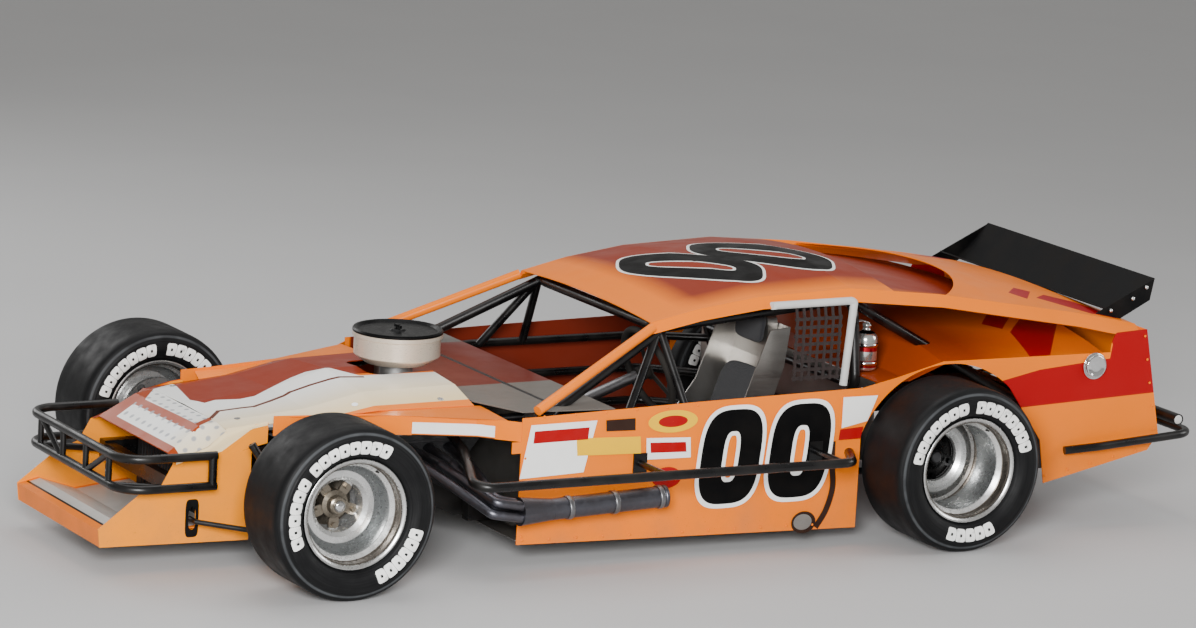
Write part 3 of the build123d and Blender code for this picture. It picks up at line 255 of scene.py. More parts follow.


# Sprayed sheet metal. Each painted area is a colour, a dropped axis and a polygon, laid over the one before.
# White turns to cream along Y over the cream shade span as painted warm shade, and the dotted polygons carry a
# lattice of dots. A fade turns the base to another colour over a span of one axis, as painted light and shade.
# Faces nearer the middle than innerY are dark, and leftOnly keeps the areas to the car's left. Dust thickens to
# the ground, and the sheet is slightly wavy.
def paintMaterial(
    name, areas, base="orange", dustTop=0.45, creamShadeSpan=None, dotted=(), fades=(), innerY=None, leftOnly=False
):
    tint = colours[base]
    material, shader, place = startMaterial(name, tint, 0.34, coat=0.04)
    shader.inputs["Specular IOR Level"].default_value = 0.16
    axes = [coordinate(place, axis) for axis in range(3)]
    patches = remap(noise(place, 2.3, 4.0), 0.3, 0.7, 0.0, 0.30)
    colour = mixColour(patches, tint, shadeOf(tint, 0.70))
    for axis, low, high, fadeTint in fades:
        colour = mixColour(remap(axes[axis], low, high), colour, colours[fadeTint])
    if innerY:
        inside = remap(calculate("ABSOLUTE", axes[1]), innerY, innerY + 0.0004, 1.0, 0.0)
        behind = remap(axes[0], 0.745, 0.755, 1.0, 0.0)
        colour = mixColour(multiply(inside, behind), colour, colours["brown red"])
    white = colours["white"]
    # Painted warm shade: the white turns cream along Y
    if creamShadeSpan:
        white = mixColour(remap(axes[1], *creamShadeSpan, 0.0, 0.85), white, colours["cream"])
    for areaTint, drop, points in areas:
        mask = polygonMask(place, points, drop)
        if leftOnly:
            mask = multiply(mask, remap(axes[1], -0.001, 0.001))
        colour = mixColour(mask, colour, white if areaTint == "white" else colours[areaTint])
    for points in dotted:
        spots = multiply(dotLattice(place), polygonMask(place, points, 2))
        colour = mixColour(spots, colour, colours["dot grey"])
    low = remap(axes[2], 0.06, dustTop, 1.0, 0.0)
    cloud = remap(noise(place, 7.0, 6.0), 0.38, 0.75)
    dust = multiply(calculate("ADD", low, 0.06), cloud)
    colour = mixColour(multiply(dust, 0.30), colour, colours["dust"])
    specks = remap(noise(place, 160.0, 2.0), 0.68, 0.74, 0.0, 0.3)
    colour = mixColour(multiply(specks, low), colour, (0.05, 0.045, 0.04))
    feed(shader, "Base Color", colour)
    feed(shader, "Roughness", remap(cloud, 0.0, 1.0, 0.30, 0.46))
    fine = multiply(noise(place, 420.0, 1.0), 0.03)
    feedBump(shader, calculate("ADD", noise(place, 5.0, 2.0), fine), 0.003, 0.35)
    return material


# Bare or plated metal: streaks along one axis, stains from noise and fine scratches in the bump
def metalMaterial(
    name,
    colour,
    roughness,
    streak=(1, 1, 1),
    stain=0.3,
    stainColour=(0.10, 0.09, 0.08),
    metallic=1.0,
    bump=0.0004,
):
    material, shader, place = startMaterial(name, colour, roughness, metallic)
    stretched = addNode("Mapping", {"Vector": place, "Scale": streak}, vector_type="POINT")
    grain = noise(stretched, 60.0, 4.0)
    blotch = remap(noise(place, 6.0, 5.0), 0.42, 0.75, 0.0, stain)
    tone = mixColour(remap(grain, 0.3, 0.7, 0.0, 0.25), colour, shadeOf(colour, 0.6))
    feed(shader, "Base Color", mixColour(blotch, tone, stainColour))
    roughest = min(1.0, roughness * 1.3)
    feed(shader, "Roughness", remap(grain, 0.25, 0.75, roughness * 0.75, roughest))
    feedBump(shader, grain, bump, 0.6)
    return material


# Wheel metal. The colour goes by the distance from the axle line, in rings, and darkens with depth inside
# the rim as painted shade. Each ring is low radius, high radius, colour name.
def wheelMaterial(name, axleX, rings, depthDark):
    material, shader, place = startMaterial(name, colours["silver"], 0.28, metallic=0.85)
    out = calculate("SUBTRACT", coordinate(place, 0), axleX)
    up = calculate("SUBTRACT", coordinate(place, 2), axleZ)
    radius = distanceOf(out, up)
    grain = noise(place, 55.0, 5.0)
    silverTint = colours["silver"]
    colour = mixColour(remap(grain, 0.3, 0.7, 0.0, 0.3), silverTint, shadeOf(silverTint, 0.75))
    for low, high, tint in rings:
        colour = mixColour(between(radius, low, high), colour, colours[tint])
    # Painted shade deep inside the rim, broken up by noise
    depth = calculate("SUBTRACT", calculate("ABSOLUTE", coordinate(place, 1)), wheelY)
    shadow = remap(depth, -0.17, depthDark, 0.85, 0.0)
    patchyShade = multiply(shadow, remap(noise(place, 9.0, 4.0), 0.25, 0.6, 0.7, 1.0))
    colour = mixColour(patchyShade, colour, (0.035, 0.033, 0.032))
    feed(shader, "Base Color", colour)
    feed(shader, "Roughness", remap(grain, 0.25, 0.75, 0.20, 0.38))
    feedBump(shader, grain, 0.0004, 0.5)
    return material


# Air cleaner metal: brushed case below, black enamel on everything above the lid's height
def cleanerMaterial(lidZ):
    material, shader, place = startMaterial("airCleaner", colours["filter case"], 0.30, metallic=1.0)
    stretched = addNode("Mapping", {"Vector": place, "Scale": (1, 1, 16)}, vector_type="POINT")
    grain = noise(stretched, 55.0, 4.0)
    shader.inputs["Specular IOR Level"].default_value = 0.15
    brushing = remap(grain, 0.3, 0.7, 0.0, 0.35)
    case = mixColour(brushing, colours["filter case"], (0.60, 0.50, 0.38))
    lid = remap(coordinate(place, 2), lidZ - 0.0005, lidZ + 0.0005)
    feed(shader, "Base Color", mixColour(lid, case, colours["black"]))
    feed(shader, "Metallic", remap(lid, 0.0, 1.0, 0.6, 0.0))
    feed(shader, "Roughness", remap(grain, 0.25, 0.75, 0.24, 0.40))
    feedBump(shader, grain, 0.0003, 0.5)
    return material


# Plain enamel or plastic: slight mottling, dust on top and an orange-peel bump
def coatedMaterial(name, colour, roughness, dust=0.25, scale=240.0, shine=0.18):
    material, shader, place = startMaterial(name, colour, roughness, coat=0.0)
    shader.inputs["Specular IOR Level"].default_value = shine
    cloud = remap(noise(place, 9.0, 5.0), 0.4, 0.8, 0.0, dust)
    feed(shader, "Base Color", mixColour(cloud, colour, colours["dust"]))
    roughest = min(1.0, roughness + 0.25)
    feed(shader, "Roughness", remap(cloud, 0.0, max(dust, 0.01), roughness, roughest))
    feedBump(shader, noise(place, scale, 2.0), 0.0004, 0.4)
    return material


# Tyre rubber, by the lathe's own UV: U runs round the tyre, V is the distance from the axle line. Scuffs
# run round the tread, and a paler ring lies on the shoulder.
def rubberMaterial():
    material, shader, place = startMaterial("tyreRubber", colours["rubber"], 0.60)
    shader.inputs["Specular IOR Level"].default_value = 0.16
    around = addNode("UVMap", tree=material.node_tree, uv_map="lathe")
    stretched = addNode("Mapping", {"Vector": around, "Scale": (3.0, 90.0, 1.0)}, vector_type="POINT")
    scuff = noise(stretched, 3.0, 5.0)
    mottle = noise(place, 14.0, 5.0)
    worn = multiply(remap(scuff, 0.35, 0.75), remap(mottle, 0.3, 0.7, 0.3, 1.0))
    colour = mixColour(worn, colours["rubber"], colours["rubber scuff"])
    radius = coordinate(around, 1)
    shoulder = between(radius, 0.3075, 0.3165, 0.002)
    ring = multiply(shoulder, remap(mottle, 0.3, 0.6, 0.45, 1.0))
    feed(shader, "Base Color", mixColour(ring, colour, colours["rubber ring"]))
    feed(shader, "Roughness", remap(mottle, 0.3, 0.7, 0.42, 0.66))
    pebble = noise(place, 380.0, 2.0)
    feedBump(shader, calculate("ADD", pebble, multiply(scuff, 1.5)), 0.0006, 0.5)
    return material


# White paint on rubber: thin in places where the rubber shows through
def markMaterial():
    material, shader, place = startMaterial("tyreMark", colours["white"], 0.6)
    thin = remap(noise(place, 45.0, 4.0), 0.55, 0.75, 0.0, 0.45)
    feed(shader, "Base Color", mixColour(thin, colours["white"], (0.16, 0.16, 0.16)))
    return material


# Woven cloth or webbing: two crossed waves make the weave
def wovenMaterial(name, colour, pitch, lighter=2.2, sheen=0.35):
    material, shader, place = startMaterial(name, colour, 0.85)
    shader.inputs["Sheen Weight"].default_value = sheen
    turns = 2 * math.pi / pitch
    flat = calculate("ADD", coordinate(place, 0), coordinate(place, 1))
    rows = calculate("SINE", multiply(flat, turns))
    columns = calculate("SINE", multiply(coordinate(place, 2), turns))
    weave = multiply(rows, columns)
    tone = mixColour(remap(weave, -1.0, 1.0, 0.0, 0.5), colour, shadeOf(colour, lighter))
    wear = remap(noise(place, 12.0, 4.0), 0.45, 0.8, 0.0, 0.3)
    feed(shader, "Base Color", mixColour(wear, tone, shadeOf(colour, 0.5)))
    feedBump(shader, weave, pitch / 4, 0.8)
    return material


# Bands up a bottle: each is low Z, high Z, colour name
def bandedMaterial(name, base, bands):
    material, shader, place = startMaterial(name, base, 0.16, metallic=0.9)
    height = coordinate(place, 2)
    clouding = remap(noise(place, 18.0, 4.0), 0.4, 0.8, 0.0, 0.25)
    colour = mixColour(clouding, base, (0.3, 0.3, 0.3))
    for low, high, tint in bands:
        colour = mixColour(between(height, low, high), colour, colours[tint])
    feed(shader, "Base Color", colour)
    feedBump(shader, noise(place, 90.0, 2.0), 0.0003, 0.4)
    return material


# A gauge face: ticks round the rim by the angle about the gauge's own centre, and a red needle
def gaugeMaterial(name, centre, radius):
    material, shader, place = startMaterial(name, colours["white"], 0.35)
    across = calculate("SUBTRACT", coordinate(place, 1), centre[0])
    up = calculate("SUBTRACT", coordinate(place, 2), centre[1])
    distance = distanceOf(across, up)
    angle = calculate("ARCTAN2", up, across)
    wave = calculate("SINE", multiply(angle, 24.0))
    rim = between(distance, radius * 0.72, radius * 0.93)
    ticks = multiply(remap(wave, 0.75, 0.85), rim)
    colour = mixColour(ticks, colours["white"], colours["black"])
    pointer = between(angle, 0.85, 0.98, 0.02)
    needle = multiply(pointer, between(distance, 0.0, radius * 0.75))
    feed(shader, "Base Color", mixColour(needle, colour, colours["red"]))
    feed(shader, "Roughness", remap(noise(place, 60.0), 0.3, 0.7, 0.25, 0.45))
    return material


# Paint on the hood and nose, polygons in (x, y) seen from above. The seam line parts the two white fields.
seamLine = [
    (1.937, -0.202),
    (1.929, 0.290),
    (1.834, 0.235),
    (1.774, 0.167),
    (1.687, 0.178),
    (1.633, 0.189),
    (1.551, 0.158),
    (1.443, 0.109),
    (1.356, 0.105),
    (1.273, 0.111),
    (1.150, 0.141),
]
hoodWhite = [
    [(1.85, 0.245), (1.774, 0.167), (1.76, 0.395), (1.85, 0.395)],
    [(1.774, 0.167), (1.633, 0.190), (1.60, 0.43), (1.77, 0.395)],
    [(1.633, 0.190), (1.443, 0.109), (1.42, 0.50), (1.61, 0.43)],
    [(1.443, 0.109), (1.273, 0.111), (1.25, 0.55), (1.43, 0.50)],
    [(1.273, 0.111), (1.158, 0.122), (0.78, 0.120), (0.78, 0.60), (1.26, 0.55)],
]
thinWhite = [
    [(1.85, 0.235), (1.774, 0.165), (1.772, 0.04), (1.80, -0.038), (1.85, -0.03)],
    [(1.78, 0.168), (1.633, 0.188), (1.637, 0.069), (1.723, 0.025), (1.78, 0.040)],
    [(1.635, 0.188), (1.545, 0.155), (1.571, 0.065), (1.640, 0.069)],
    [(1.552, 0.157), (1.443, 0.108), (1.478, 0.002), (1.575, 0.066)],
    [(1.445, 0.109), (1.356, 0.104), (1.375, -0.036), (1.480, 0.003)],
    [(1.358, 0.104), (1.273, 0.110), (1.255, -0.017), (1.305, -0.047), (1.376, -0.036)],
    [(1.275, 0.110), (1.197, 0.130), (1.150, 0.125), (1.221, 0.001), (1.256, -0.017)],
]
noseBigParts = [
    [(2.024, -0.225), (1.944, -0.225), (1.936, 0.300), (1.936, 0.40), (2.024, 0.40)],
    [(1.938, 0.300), (1.83, 0.245), (1.83, 0.40), (1.938, 0.40)],
]
noseThinPart = [(1.925, -0.185), (1.83, -0.310), (1.83, 0.045), (1.83, 0.235), (1.915, 0.262)]
hoodThinStart = [(1.85, -0.300), (1.728, -0.367), (1.80, -0.038), (1.85, -0.030)]
hoodEdge = [(1.42, 0.424), (0.78, 0.452), (0.78, 0.52), (1.42, 0.47)]
sideWhite = [(2.03, 0.415), (1.860, 0.448), (1.735, 0.530), (1.735, 0.640), (2.06, 0.640)]

# The hood's right part is painted shade: the orange paint darkened like the roof's top
hoodAreas = [("shaded roof orange", 2, [(1.85, -0.42), (0.70, -0.60), (0.70, 0.10), (1.85, 0.10)])]
hoodAreas += [("white", 2, points) for points in hoodWhite + thinWhite + [hoodThinStart]]
hoodAreas += lineAreas("seam brown", 2, seamLine[2:], 0.018) + [("orange", 2, hoodEdge)]
# The nose top's darker orange, and the orange line between its white fields, are painted shade on the orange
# paint
noseAreas = [("shaded orange", 2, [(1.80, -0.42), (2.10, -0.42), (2.10, 0.42), (1.80, 0.42)])]
noseAreas += [("white", 2, points) for points in noseBigParts + [noseThinPart]]
noseAreas += lineAreas("shaded orange", 2, seamLine[:3], 0.034)
redBand = [(-1.35, 0.505), (-1.38, 0.620), (-1.60, 0.665), (-1.95, 0.695), (-2.30, 0.700), (-2.30, 0.545)]
redTail = [
    [(-1.865, 0.90), (-1.912, 0.836), (-2.30, 0.836), (-2.30, 0.90)],
    [(-1.912, 0.840), (-1.950, 0.751), (-2.30, 0.751), (-2.30, 0.840)],
    [(-1.950, 0.755), (-1.935, 0.660), (-2.30, 0.540), (-2.30, 0.755)],
]
quarterAreas = [("red", 1, redBand)] + [("red", 1, points) for points in redTail]
deckMarks = [
    [(-1.638, 0.455), (-1.740, 0.340), (-1.800, 0.375), (-1.690, 0.520)],
    [(-1.760, 0.480), (-1.850, 0.400), (-2.06, 0.520), (-2.06, 0.650), (-1.93, 0.640)],
]
deckAreas = [("red", 2, [(x, side * y) for x, y in points]) for points in deckMarks for side in (1, -1)]
innerMarks = [
    [(-1.600, 0.330), (-1.845, 0.045), (-1.915, 0.111), (-1.655, 0.405)],
    [(-1.666, 0.446), (-1.946, 0.156), (-1.991, 0.315), (-1.700, 0.700), (-1.593, 0.720)],
]
innerAreas = [("red", 2, [(x, side * y) for x, y in points]) for points in innerMarks for side in (1, -1)]
ductAreas = [("tin", 2, [(1.80, -0.372), (2.318, -0.372), (2.318, 0.372), (1.80, 0.372)])]
# The black line along the lip's inner corner is a painted shadow
ductAreas += lineAreas("black", 2, [(2.322, -0.380), (2.322, 0.380)], 0.010)

sidePaint = paintMaterial("sidePaint", [], innerY=0.7785)
quarterPaint = paintMaterial("quarterPaint", quarterAreas)
railPaint = paintMaterial("railPaint", [])
# The roof's dark red-brown is painted shade on its top, fading back to plain orange along its left edge and its
# front
roofShadeFades = ((1, 0.40, 0.53, "orange"), (0, -0.17, -0.05, "orange"))
roofPaint = paintMaterial("roofPaint", [], base="shaded roof orange", fades=roofShadeFades)
deckPaint = paintMaterial("deckPaint", deckAreas)
# The inner deck darkens towards the cockpit as painted shade
innerPaint = paintMaterial("innerPaint", innerAreas, fades=((0, -1.80, -1.35, "shaded orange"),))
tailPaint = paintMaterial("tailPaint", [])
hoodPaint = paintMaterial("hoodPaint", hoodAreas, dustTop=0.2, creamShadeSpan=(0.12, 0.42))
nosePaint = paintMaterial(
    "nosePaint", noseAreas, dustTop=0.2, creamShadeSpan=(0.20, 0.45), dotted=noseBigParts + [noseThinPart]
)
# The nose side plates' lighter orange is a painted highlight on the orange paint
noseSidePaint = paintMaterial(
    "noseSidePaint", [("white", 1, sideWhite)], base="lit orange", creamShadeSpan=(0.10, 0.42), leftOnly=True
)
flangeWhite = [(1.60, 0.40), (2.10, 0.40), (2.10, 0.60), (1.60, 0.60)]
flangePaint = paintMaterial("flangePaint", [("white", 1, flangeWhite)], creamShadeSpan=(0.10, 0.42), leftOnly=True)
shelfPaint = paintMaterial("shelfPaint", [])
cowlBare = [
    [(0.20, 0.20), (0.90, 0.22), (0.90, 0.80), (0.20, 0.80)],
    [(0.20, -0.56), (0.90, -0.56), (0.90, -0.80), (0.20, -0.80)],
]
# The cowl's brown red base is painted shade on the orange paint
cowlPaint = paintMaterial("cowlPaint", [("bare grey", 2, points) for points in cowlBare], base="brown red")
ductPaint = paintMaterial("ductPaint", ductAreas, dustTop=0.3)
framePaint = coatedMaterial("framePaint", colours["frame black"], 0.26, 0.05, shine=0.42)
springPaint = coatedMaterial("springPaint", (0.30, 0.30, 0.30), 0.35, 0.25)
tin = metalMaterial("sheetTin", colours["tin"], 0.38, (1, 12, 12), 0.35)
steel = metalMaterial("plainSteel", colours["steel"], 0.38, stain=0.4)
silver = metalMaterial("brightSilver", colours["silver"], 0.28, stain=0.15)
exhaustSteel = metalMaterial("exhaustSteel", colours["exhaust"], 0.4, stain=0.5, stainColour=(0.05, 0.03, 0.02))
castAluminium = metalMaterial(
    "castAluminium", (0.46, 0.46, 0.45), 0.5, stain=0.5, stainColour=(0.06, 0.055, 0.05), bump=0.0012
)
coreMetal = metalMaterial("coreMetal", (0.045, 0.045, 0.048), 0.5, (1, 30, 1), 0.3, metallic=0.6, bump=0.0012)
castIron = metalMaterial(
    "castIron", colours["cast"], 0.62, stain=0.5, stainColour=(0.03, 0.025, 0.02), metallic=0.4, bump=0.002
)
chrome = metalMaterial("brightChrome", (0.80, 0.80, 0.80), 0.07, stain=0.06)
matteBlack = coatedMaterial("matteBlack", colours["frame black"], 0.5, 0.04, shine=0.12)
cellBlack = coatedMaterial("cellBlack", (0.03, 0.03, 0.03), 0.6, 0.4)
grip = coatedMaterial("wheelGrip", (0.014, 0.013, 0.012), 0.7, 0.1, 700.0)
vinylWhite = coatedMaterial("vinylWhite", colours["white"], 0.34, 0.08)
vinylBlack = coatedMaterial("vinylBlack", colours["black"], 0.34, 0.02, shine=0.08)
vinylRed = coatedMaterial("vinylRed", colours["red"], 0.32, 0.08)
vinylYellow = coatedMaterial("vinylYellow", colours["yellow"], 0.32, 0.08)
# Dark film for seams and joints, and for a painted shadow line under the side strip
seamAndShadowDark = coatedMaterial("seamAndShadowDark", (0.025, 0.010, 0.006), 0.7, 0.05)
barWhite = coatedMaterial("barWhite", (0.62, 0.62, 0.60), 0.4, 0.2)
rubber = rubberMaterial()
tyreMark = markMaterial()
netWebbing = wovenMaterial("netWebbing", colours["webbing"], 0.0024, sheen=0.05)
padCloth = wovenMaterial("padCloth", colours["pad"], 0.0030, 1.8, 0.1)
cleanerLidZ = 0.790
airCleaner = cleanerMaterial(cleanerLidZ)
rimRings = [(0.2065, 0.25, "silver"), (0.1880, 0.1965, "groove"), (0.1735, 0.1880, "bright step")]
frontRings = rimRings + [(0.140, 0.1735, "barrel"), (0.0, 0.093, "hub")]
# On the rear wheels the black middle is painted shadow over the hub, and the bright ring on the disc's rolled
# edge is lighter metal made brighter by a painted highlight
rearRings = rimRings + [(0.144, 0.1735, "barrel"), (0.098, 0.124, "bright step"), (0.0, 0.098, "black")]
frontWheelMetal = wheelMaterial("frontWheelMetal", frontX, frontRings, -0.045)
rearWheelMetal = wheelMaterial("rearWheelMetal", rearX, rearRings, -0.115)
print("materials made")

nodeFinish = {
    railPaint: ["left_roof_rail", "right_roof_rail"],
    tailPaint: ["tail_panel"],
    innerPaint: ["interior_deck"],
    noseSidePaint: ["nose_sides"],
    ductPaint: ["nose_pan"],
    sidePaint: ["left_side_panel", "right_side_panel"],
    quarterPaint: ["left_quarter_panel", "right_quarter_panel"],
    roofPaint: ["roof_panel", "backlight_panel"],
    deckPaint: ["deck_panel"],
    hoodPaint: ["hood"],
    nosePaint: ["nose_cowl"],
    framePaint: ["frame_rails", "roll_cage", "halo", "left_door_bars", "right_door_bars", "engine_bars"]
    + ["front_bumper", "rear_bumper", "side_bars", "front_arms", "rear_links"],
    cowlPaint: ["cowl_panel"],
    tin: ["floor_pan", "firewall", "dashboard", "bulkhead", "seat"],
    frontWheelMetal: ["left_front_wheel", "right_front_wheel"],
    rearWheelMetal: ["left_rear_wheel", "right_rear_wheel"],
    steel: ["left_knuckle", "right_knuckle", "tie_rod", "rear_axle", "driveshaft", "steering_column"],
    exhaustSteel: ["headers"],
    castAluminium: ["valve_covers", "intake", "gearbox"],
    coreMetal: ["radiator"],
    castIron: ["engine_block"],
    chrome: ["filler_cap"],
    airCleaner: ["air_cleaner"],
    matteBlack: ["spoiler"],
    cellBlack: ["fuel_cell"],
    grip: ["steering_wheel"],
    silver: ["bottle"],
    netWebbing: ["window_net"],
    rubber: ["left_front_tyre", "right_front_tyre", "left_rear_tyre", "right_rear_tyre"],
}
for finish, names in nodeFinish.items():
    for name in names:
        for holder in nodes[name].material_slots:
            holder.material = finish
print("nodes finished")


# A mesh piece from points and quads, in the car's own frame, riding on a body. Values at the points go to
# a UV map called lathe.
def meshPiece(name, points, quads, material, body, uv=None):
    points = np.asarray(points, np.float32).reshape(-1, 3)
    quads = np.asarray(quads, np.int32).reshape(-1, 4)
    mesh = bpy.data.meshes.new(name)
    mesh.vertices.add(len(points))
    mesh.vertices.foreach_set("co", points.ravel())
    mesh.loops.add(quads.size)
    mesh.loops.foreach_set("vertex_index", quads.ravel())
    mesh.polygons.add(len(quads))
    mesh.polygons.foreach_set("loop_start", np.arange(0, quads.size, 4, dtype=np.int32))
    mesh.polygons.foreach_set("loop_total", np.full(len(quads), 4, np.int32))
    mesh.polygons.foreach_set("use_smooth", np.full(len(quads), True))
    if uv is not None:
        layer = mesh.uv_layers.new(name="lathe")
        layer.data.foreach_set("uv", np.asarray(uv, np.float32)[quads.ravel()].ravel())
    mesh.update(calc_edges=True)
    mesh.validate()
    mesh.materials.append(material)
    piece = addObject(name, mesh)
    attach(piece, body)
    return piece


# Quads of a grid of points, rows by columns, closed round either way on request
def gridQuads(rows, columns, closeRows=False, closeColumns=False):
    rowIds = np.arange(rows if closeRows else rows - 1)[:, None]
    columnIds = np.arange(columns if closeColumns else columns - 1)[None, :]
    nextRow = (rowIds + 1) % rows
    nextColumn = (columnIds + 1) % columns
    corners = (
        rowIds * columns + columnIds,
        rowIds * columns + nextColumn,
        nextRow * columns + nextColumn,
        nextRow * columns + columnIds,
    )
    return np.stack(corners, -1).reshape(-1, 4)


# Points from three sets of coordinates, each spread out to the shape they share
def gridPoints(x, y, z):
    return np.stack(np.broadcast_arrays(x, y, z), -1)


# Points round a circle that squares up as the power falls: sign(c) |c|^power for the cosine and the sine
def squareCircle(count, power=1.0):
    angle = np.linspace(0, 2 * math.pi, count, endpoint=False)
    unit = np.stack([np.cos(angle), np.sin(angle)], -1)
    return np.sign(unit) * np.abs(unit) ** power


# A skin on the bodywork from a grid of points, closed round its columns on request
def skinPiece(name, points, material, closed=False):
    quads = gridQuads(*points.shape[:2], closeColumns=closed)
    return meshPiece(name, points, quads, material, "chassis")


# Presses a piece straight down or up onto a node and stands it off by the lift
def pressUpright(piece, target, lift):
    press = piece.modifiers.new("press", "SHRINKWRAP")
    press.target = nodes[target]
    press.wrap_method = "PROJECT"
    press.use_project_z = True
    press.use_negative_direction = True
    press.use_positive_direction = True
    press.offset = lift


# One set of quads repeated over several equal grids of points
def repeatQuads(quads, count, step):
    return (quads[None] + (np.arange(count) * step)[:, None, None]).reshape(-1, 4)


# A line through the given points, sampled evenly between them on Catmull-Rom arcs
def smoothLine(points, samples):
    points = np.asarray(points, float)
    padded = np.vstack([2 * points[0] - points[1], points, 2 * points[-1] - points[-2]])
    spot = np.linspace(0, len(points) - 1.000001, samples)
    cell = spot.astype(int)
    t = (spot - cell)[:, None]
    a, b, c, d = (padded[cell + k] for k in range(4))
    return 0.5 * (2 * b + (c - a) * t + (2 * a - 5 * b + 4 * c - d) * t**2 + (3 * b - a - 3 * c + d) * t**3)


# A closed profile (axial, radial) turned round the Y axis through a centre: each point sits at
# centre + (radial cos angle, axial, radial sin angle)
def lathePiece(name, profile, centre, side, segments, material, body):
    profile = np.asarray(profile, float)
    axial, radial = profile[:, 0:1], profile[:, 1:2]
    angle = np.linspace(0, 2 * math.pi, segments + 1)
    x, z = centre[0] + radial * np.cos(angle), centre[2] + radial * np.sin(angle)
    points = gridPoints(x, centre[1] + side * axial, z)
    uv = gridPoints(angle / (2 * math.pi), radial, 0.0)[..., :2].reshape(-1, 2)
    quads = gridQuads(len(profile), segments + 1, closeRows=True)
    if side > 0:
        quads = quads[:, ::-1]
    return meshPiece(name, points, quads, material, body, uv=uv)


# A profile (axial, radial) turned round any axis from an origin, its seam joined up
def spunPiece(name, profile, origin, axis, segments, material, body="chassis", closed=True):
    profile = np.asarray(profile, float)
    axis = unitOf(axis)
    helper = (0.0, 0.0, 1.0) if abs(axis[2]) < 0.9 else (1.0, 0.0, 0.0)
    first = unitOf(np.cross(helper, axis))
    circle = squareCircle(segments) @ np.array((first, np.cross(axis, first)))
    axial, radial = profile[:, 0, None, None], profile[:, 1, None, None]
    points = np.asarray(origin, float) + axial * axis + radial * circle
    quads = gridQuads(len(profile), segments, closeRows=closed, closeColumns=True)
    return meshPiece(name, points, quads[:, ::-1], material, body)


# Frames along a path: at each point two directions across it, turned as little as possible from one point to
# the next
def pathFrames(path, start):
    along = unitOf(np.gradient(path, axis=0))
    first = np.empty_like(path)
    lead = np.asarray(start, float)
    for index, direction in enumerate(along):
        lead = unitOf(lead - direction * np.dot(lead, direction))
        first[index] = lead
    return first, np.cross(along, first)


# A ribbon or rod of points: a section (first, second) carried along a path
def carriedSection(path, section, start):
    first, second = pathFrames(path, start)
    return path[:, None] + section[None, :, 0:1] * first[:, None] + section[None, :, 1:2] * second[:, None]


# A closed section swept along a path, its ends drawn in to close them
def sweptPiece(name, path, section, start, material):
    points = carriedSection(path, section, start)
    ends = [path[end] + (points[end] - path[end]) * 0.02 for end in (0, -1)]
    points = np.concatenate([ends[0][None], points[:1], points, points[-1:], ends[1][None]])
    quads = gridQuads(*points.shape[:2], closeColumns=True)
    return meshPiece(name, points, quads, material, "chassis")


tyreShape = {
    "outer": [
        (0.121, 0.200),
        (0.124, 0.209),
        (0.133, 0.216),
        (0.147, 0.228),
        (0.1585, 0.243),
        (0.1645, 0.260),
        (0.1640, 0.279),
        (0.1605, 0.2965),
        (0.1555, 0.3110),
        (0.1480, 0.3235),
        (0.1360, 0.3315),
        (0.1180, 0.3345),
        (0.0900, 0.3348),
        (0.0450, 0.3349),
        (0.0000, 0.3350),
    ],
    "wall": 0.013,
    "ribs": [(0.2965, 0.0014), (0.2240, 0.0014), (0.3130, 0.0010), (0.2320, 0.0008)],
    "ribWidth": 0.0022,
    "segments": 160,
}


# The tyre's outer line from bead to bead, with narrow ribs standing out of the side walls
def tyreProfile():
    half = smoothLine(tyreShape["outer"], 90)
    raised = np.zeros(len(half))
    for radius, height in tyreShape["ribs"]:
        raised += height * np.exp(-(((half[:, 1] - radius) / tyreShape["ribWidth"]) ** 2))
    raised[half[:, 0] < 0.13] = 0
    half[:, 0] = np.minimum(half[:, 0] + raised, 0.165)
    outer = np.vstack([half, half[-2::-1] * (-1, 1)])
    inner = half.copy()
    inner[:, 0] = np.maximum(inner[:, 0] - tyreShape["wall"], 0.0)
    inner[:, 1] = np.where(half[:, 1] > 0.3, half[:, 1] - tyreShape["wall"], half[:, 1])
    inner[0] = (0.108, 0.200)
    inner = inner[::6]
    back = np.vstack([inner * (-1, 1), inner[::-1]])
    return np.vstack([outer, back]), half


tyreLine, tyreHalf = tyreProfile()
# Arcs of marks round the side wall: start and end in degrees from +X upwards, and how many marks
markShape = {"low": 0.2350, "high": 0.2870, "fill": 0.98, "stroke": 0.77, "lift": 0.0008, "power": 5.0}
markArcs = {
    "left_front": [(-25, 35, 6), (41, 118, 8), (195, 250, 6)],
    "left_rear": [(10, 82, 7), (90, 165, 8), (243, 292, 5)],
    "right_front": [(18, 84, 7), (94, 168, 8), (232, 288, 6)],
    "right_rear": [(15, 84, 7), (96, 165, 7), (245, 292, 5)],
}


# Plain white marks round the side wall: each is a rounded block with a slot in it, lying on the rubber
def tyreMarks(name, centre, side, body, arcs, wall):
    outward, upward = tyreHalf[:70].T
    order = np.argsort(upward)
    share = np.linspace(1, 1 - markShape["stroke"], 4)[:, None, None]
    ring = squareCircle(28, 2 / markShape["power"]) * share
    middle = (markShape["low"] + markShape["high"]) / 2
    reach = (markShape["high"] - markShape["low"]) / 2
    radii = middle + reach * ring[..., 1]
    axial = np.interp(radii, upward[order], outward[order]) + markShape["lift"]
    grids = []
    for first, last, count in arcs:
        pitch = (last - first) / count
        for index in range(count):
            turn = np.radians(first + pitch * (index + 0.5 + ring[..., 0] * markShape["fill"] / 2))
            x, z = centre[0] + radii * np.cos(turn), centre[2] + radii * np.sin(turn)
            grids.append(gridPoints(x, centre[1] + side * wall * axial, z))
    quads = gridQuads(*ring.shape[:2], closeColumns=True)
    if side * wall > 0:
        quads = quads[:, ::-1]
    every = repeatQuads(quads, len(grids), radii.size)
    return meshPiece(name, np.array(grids), every, tyreMark, body)


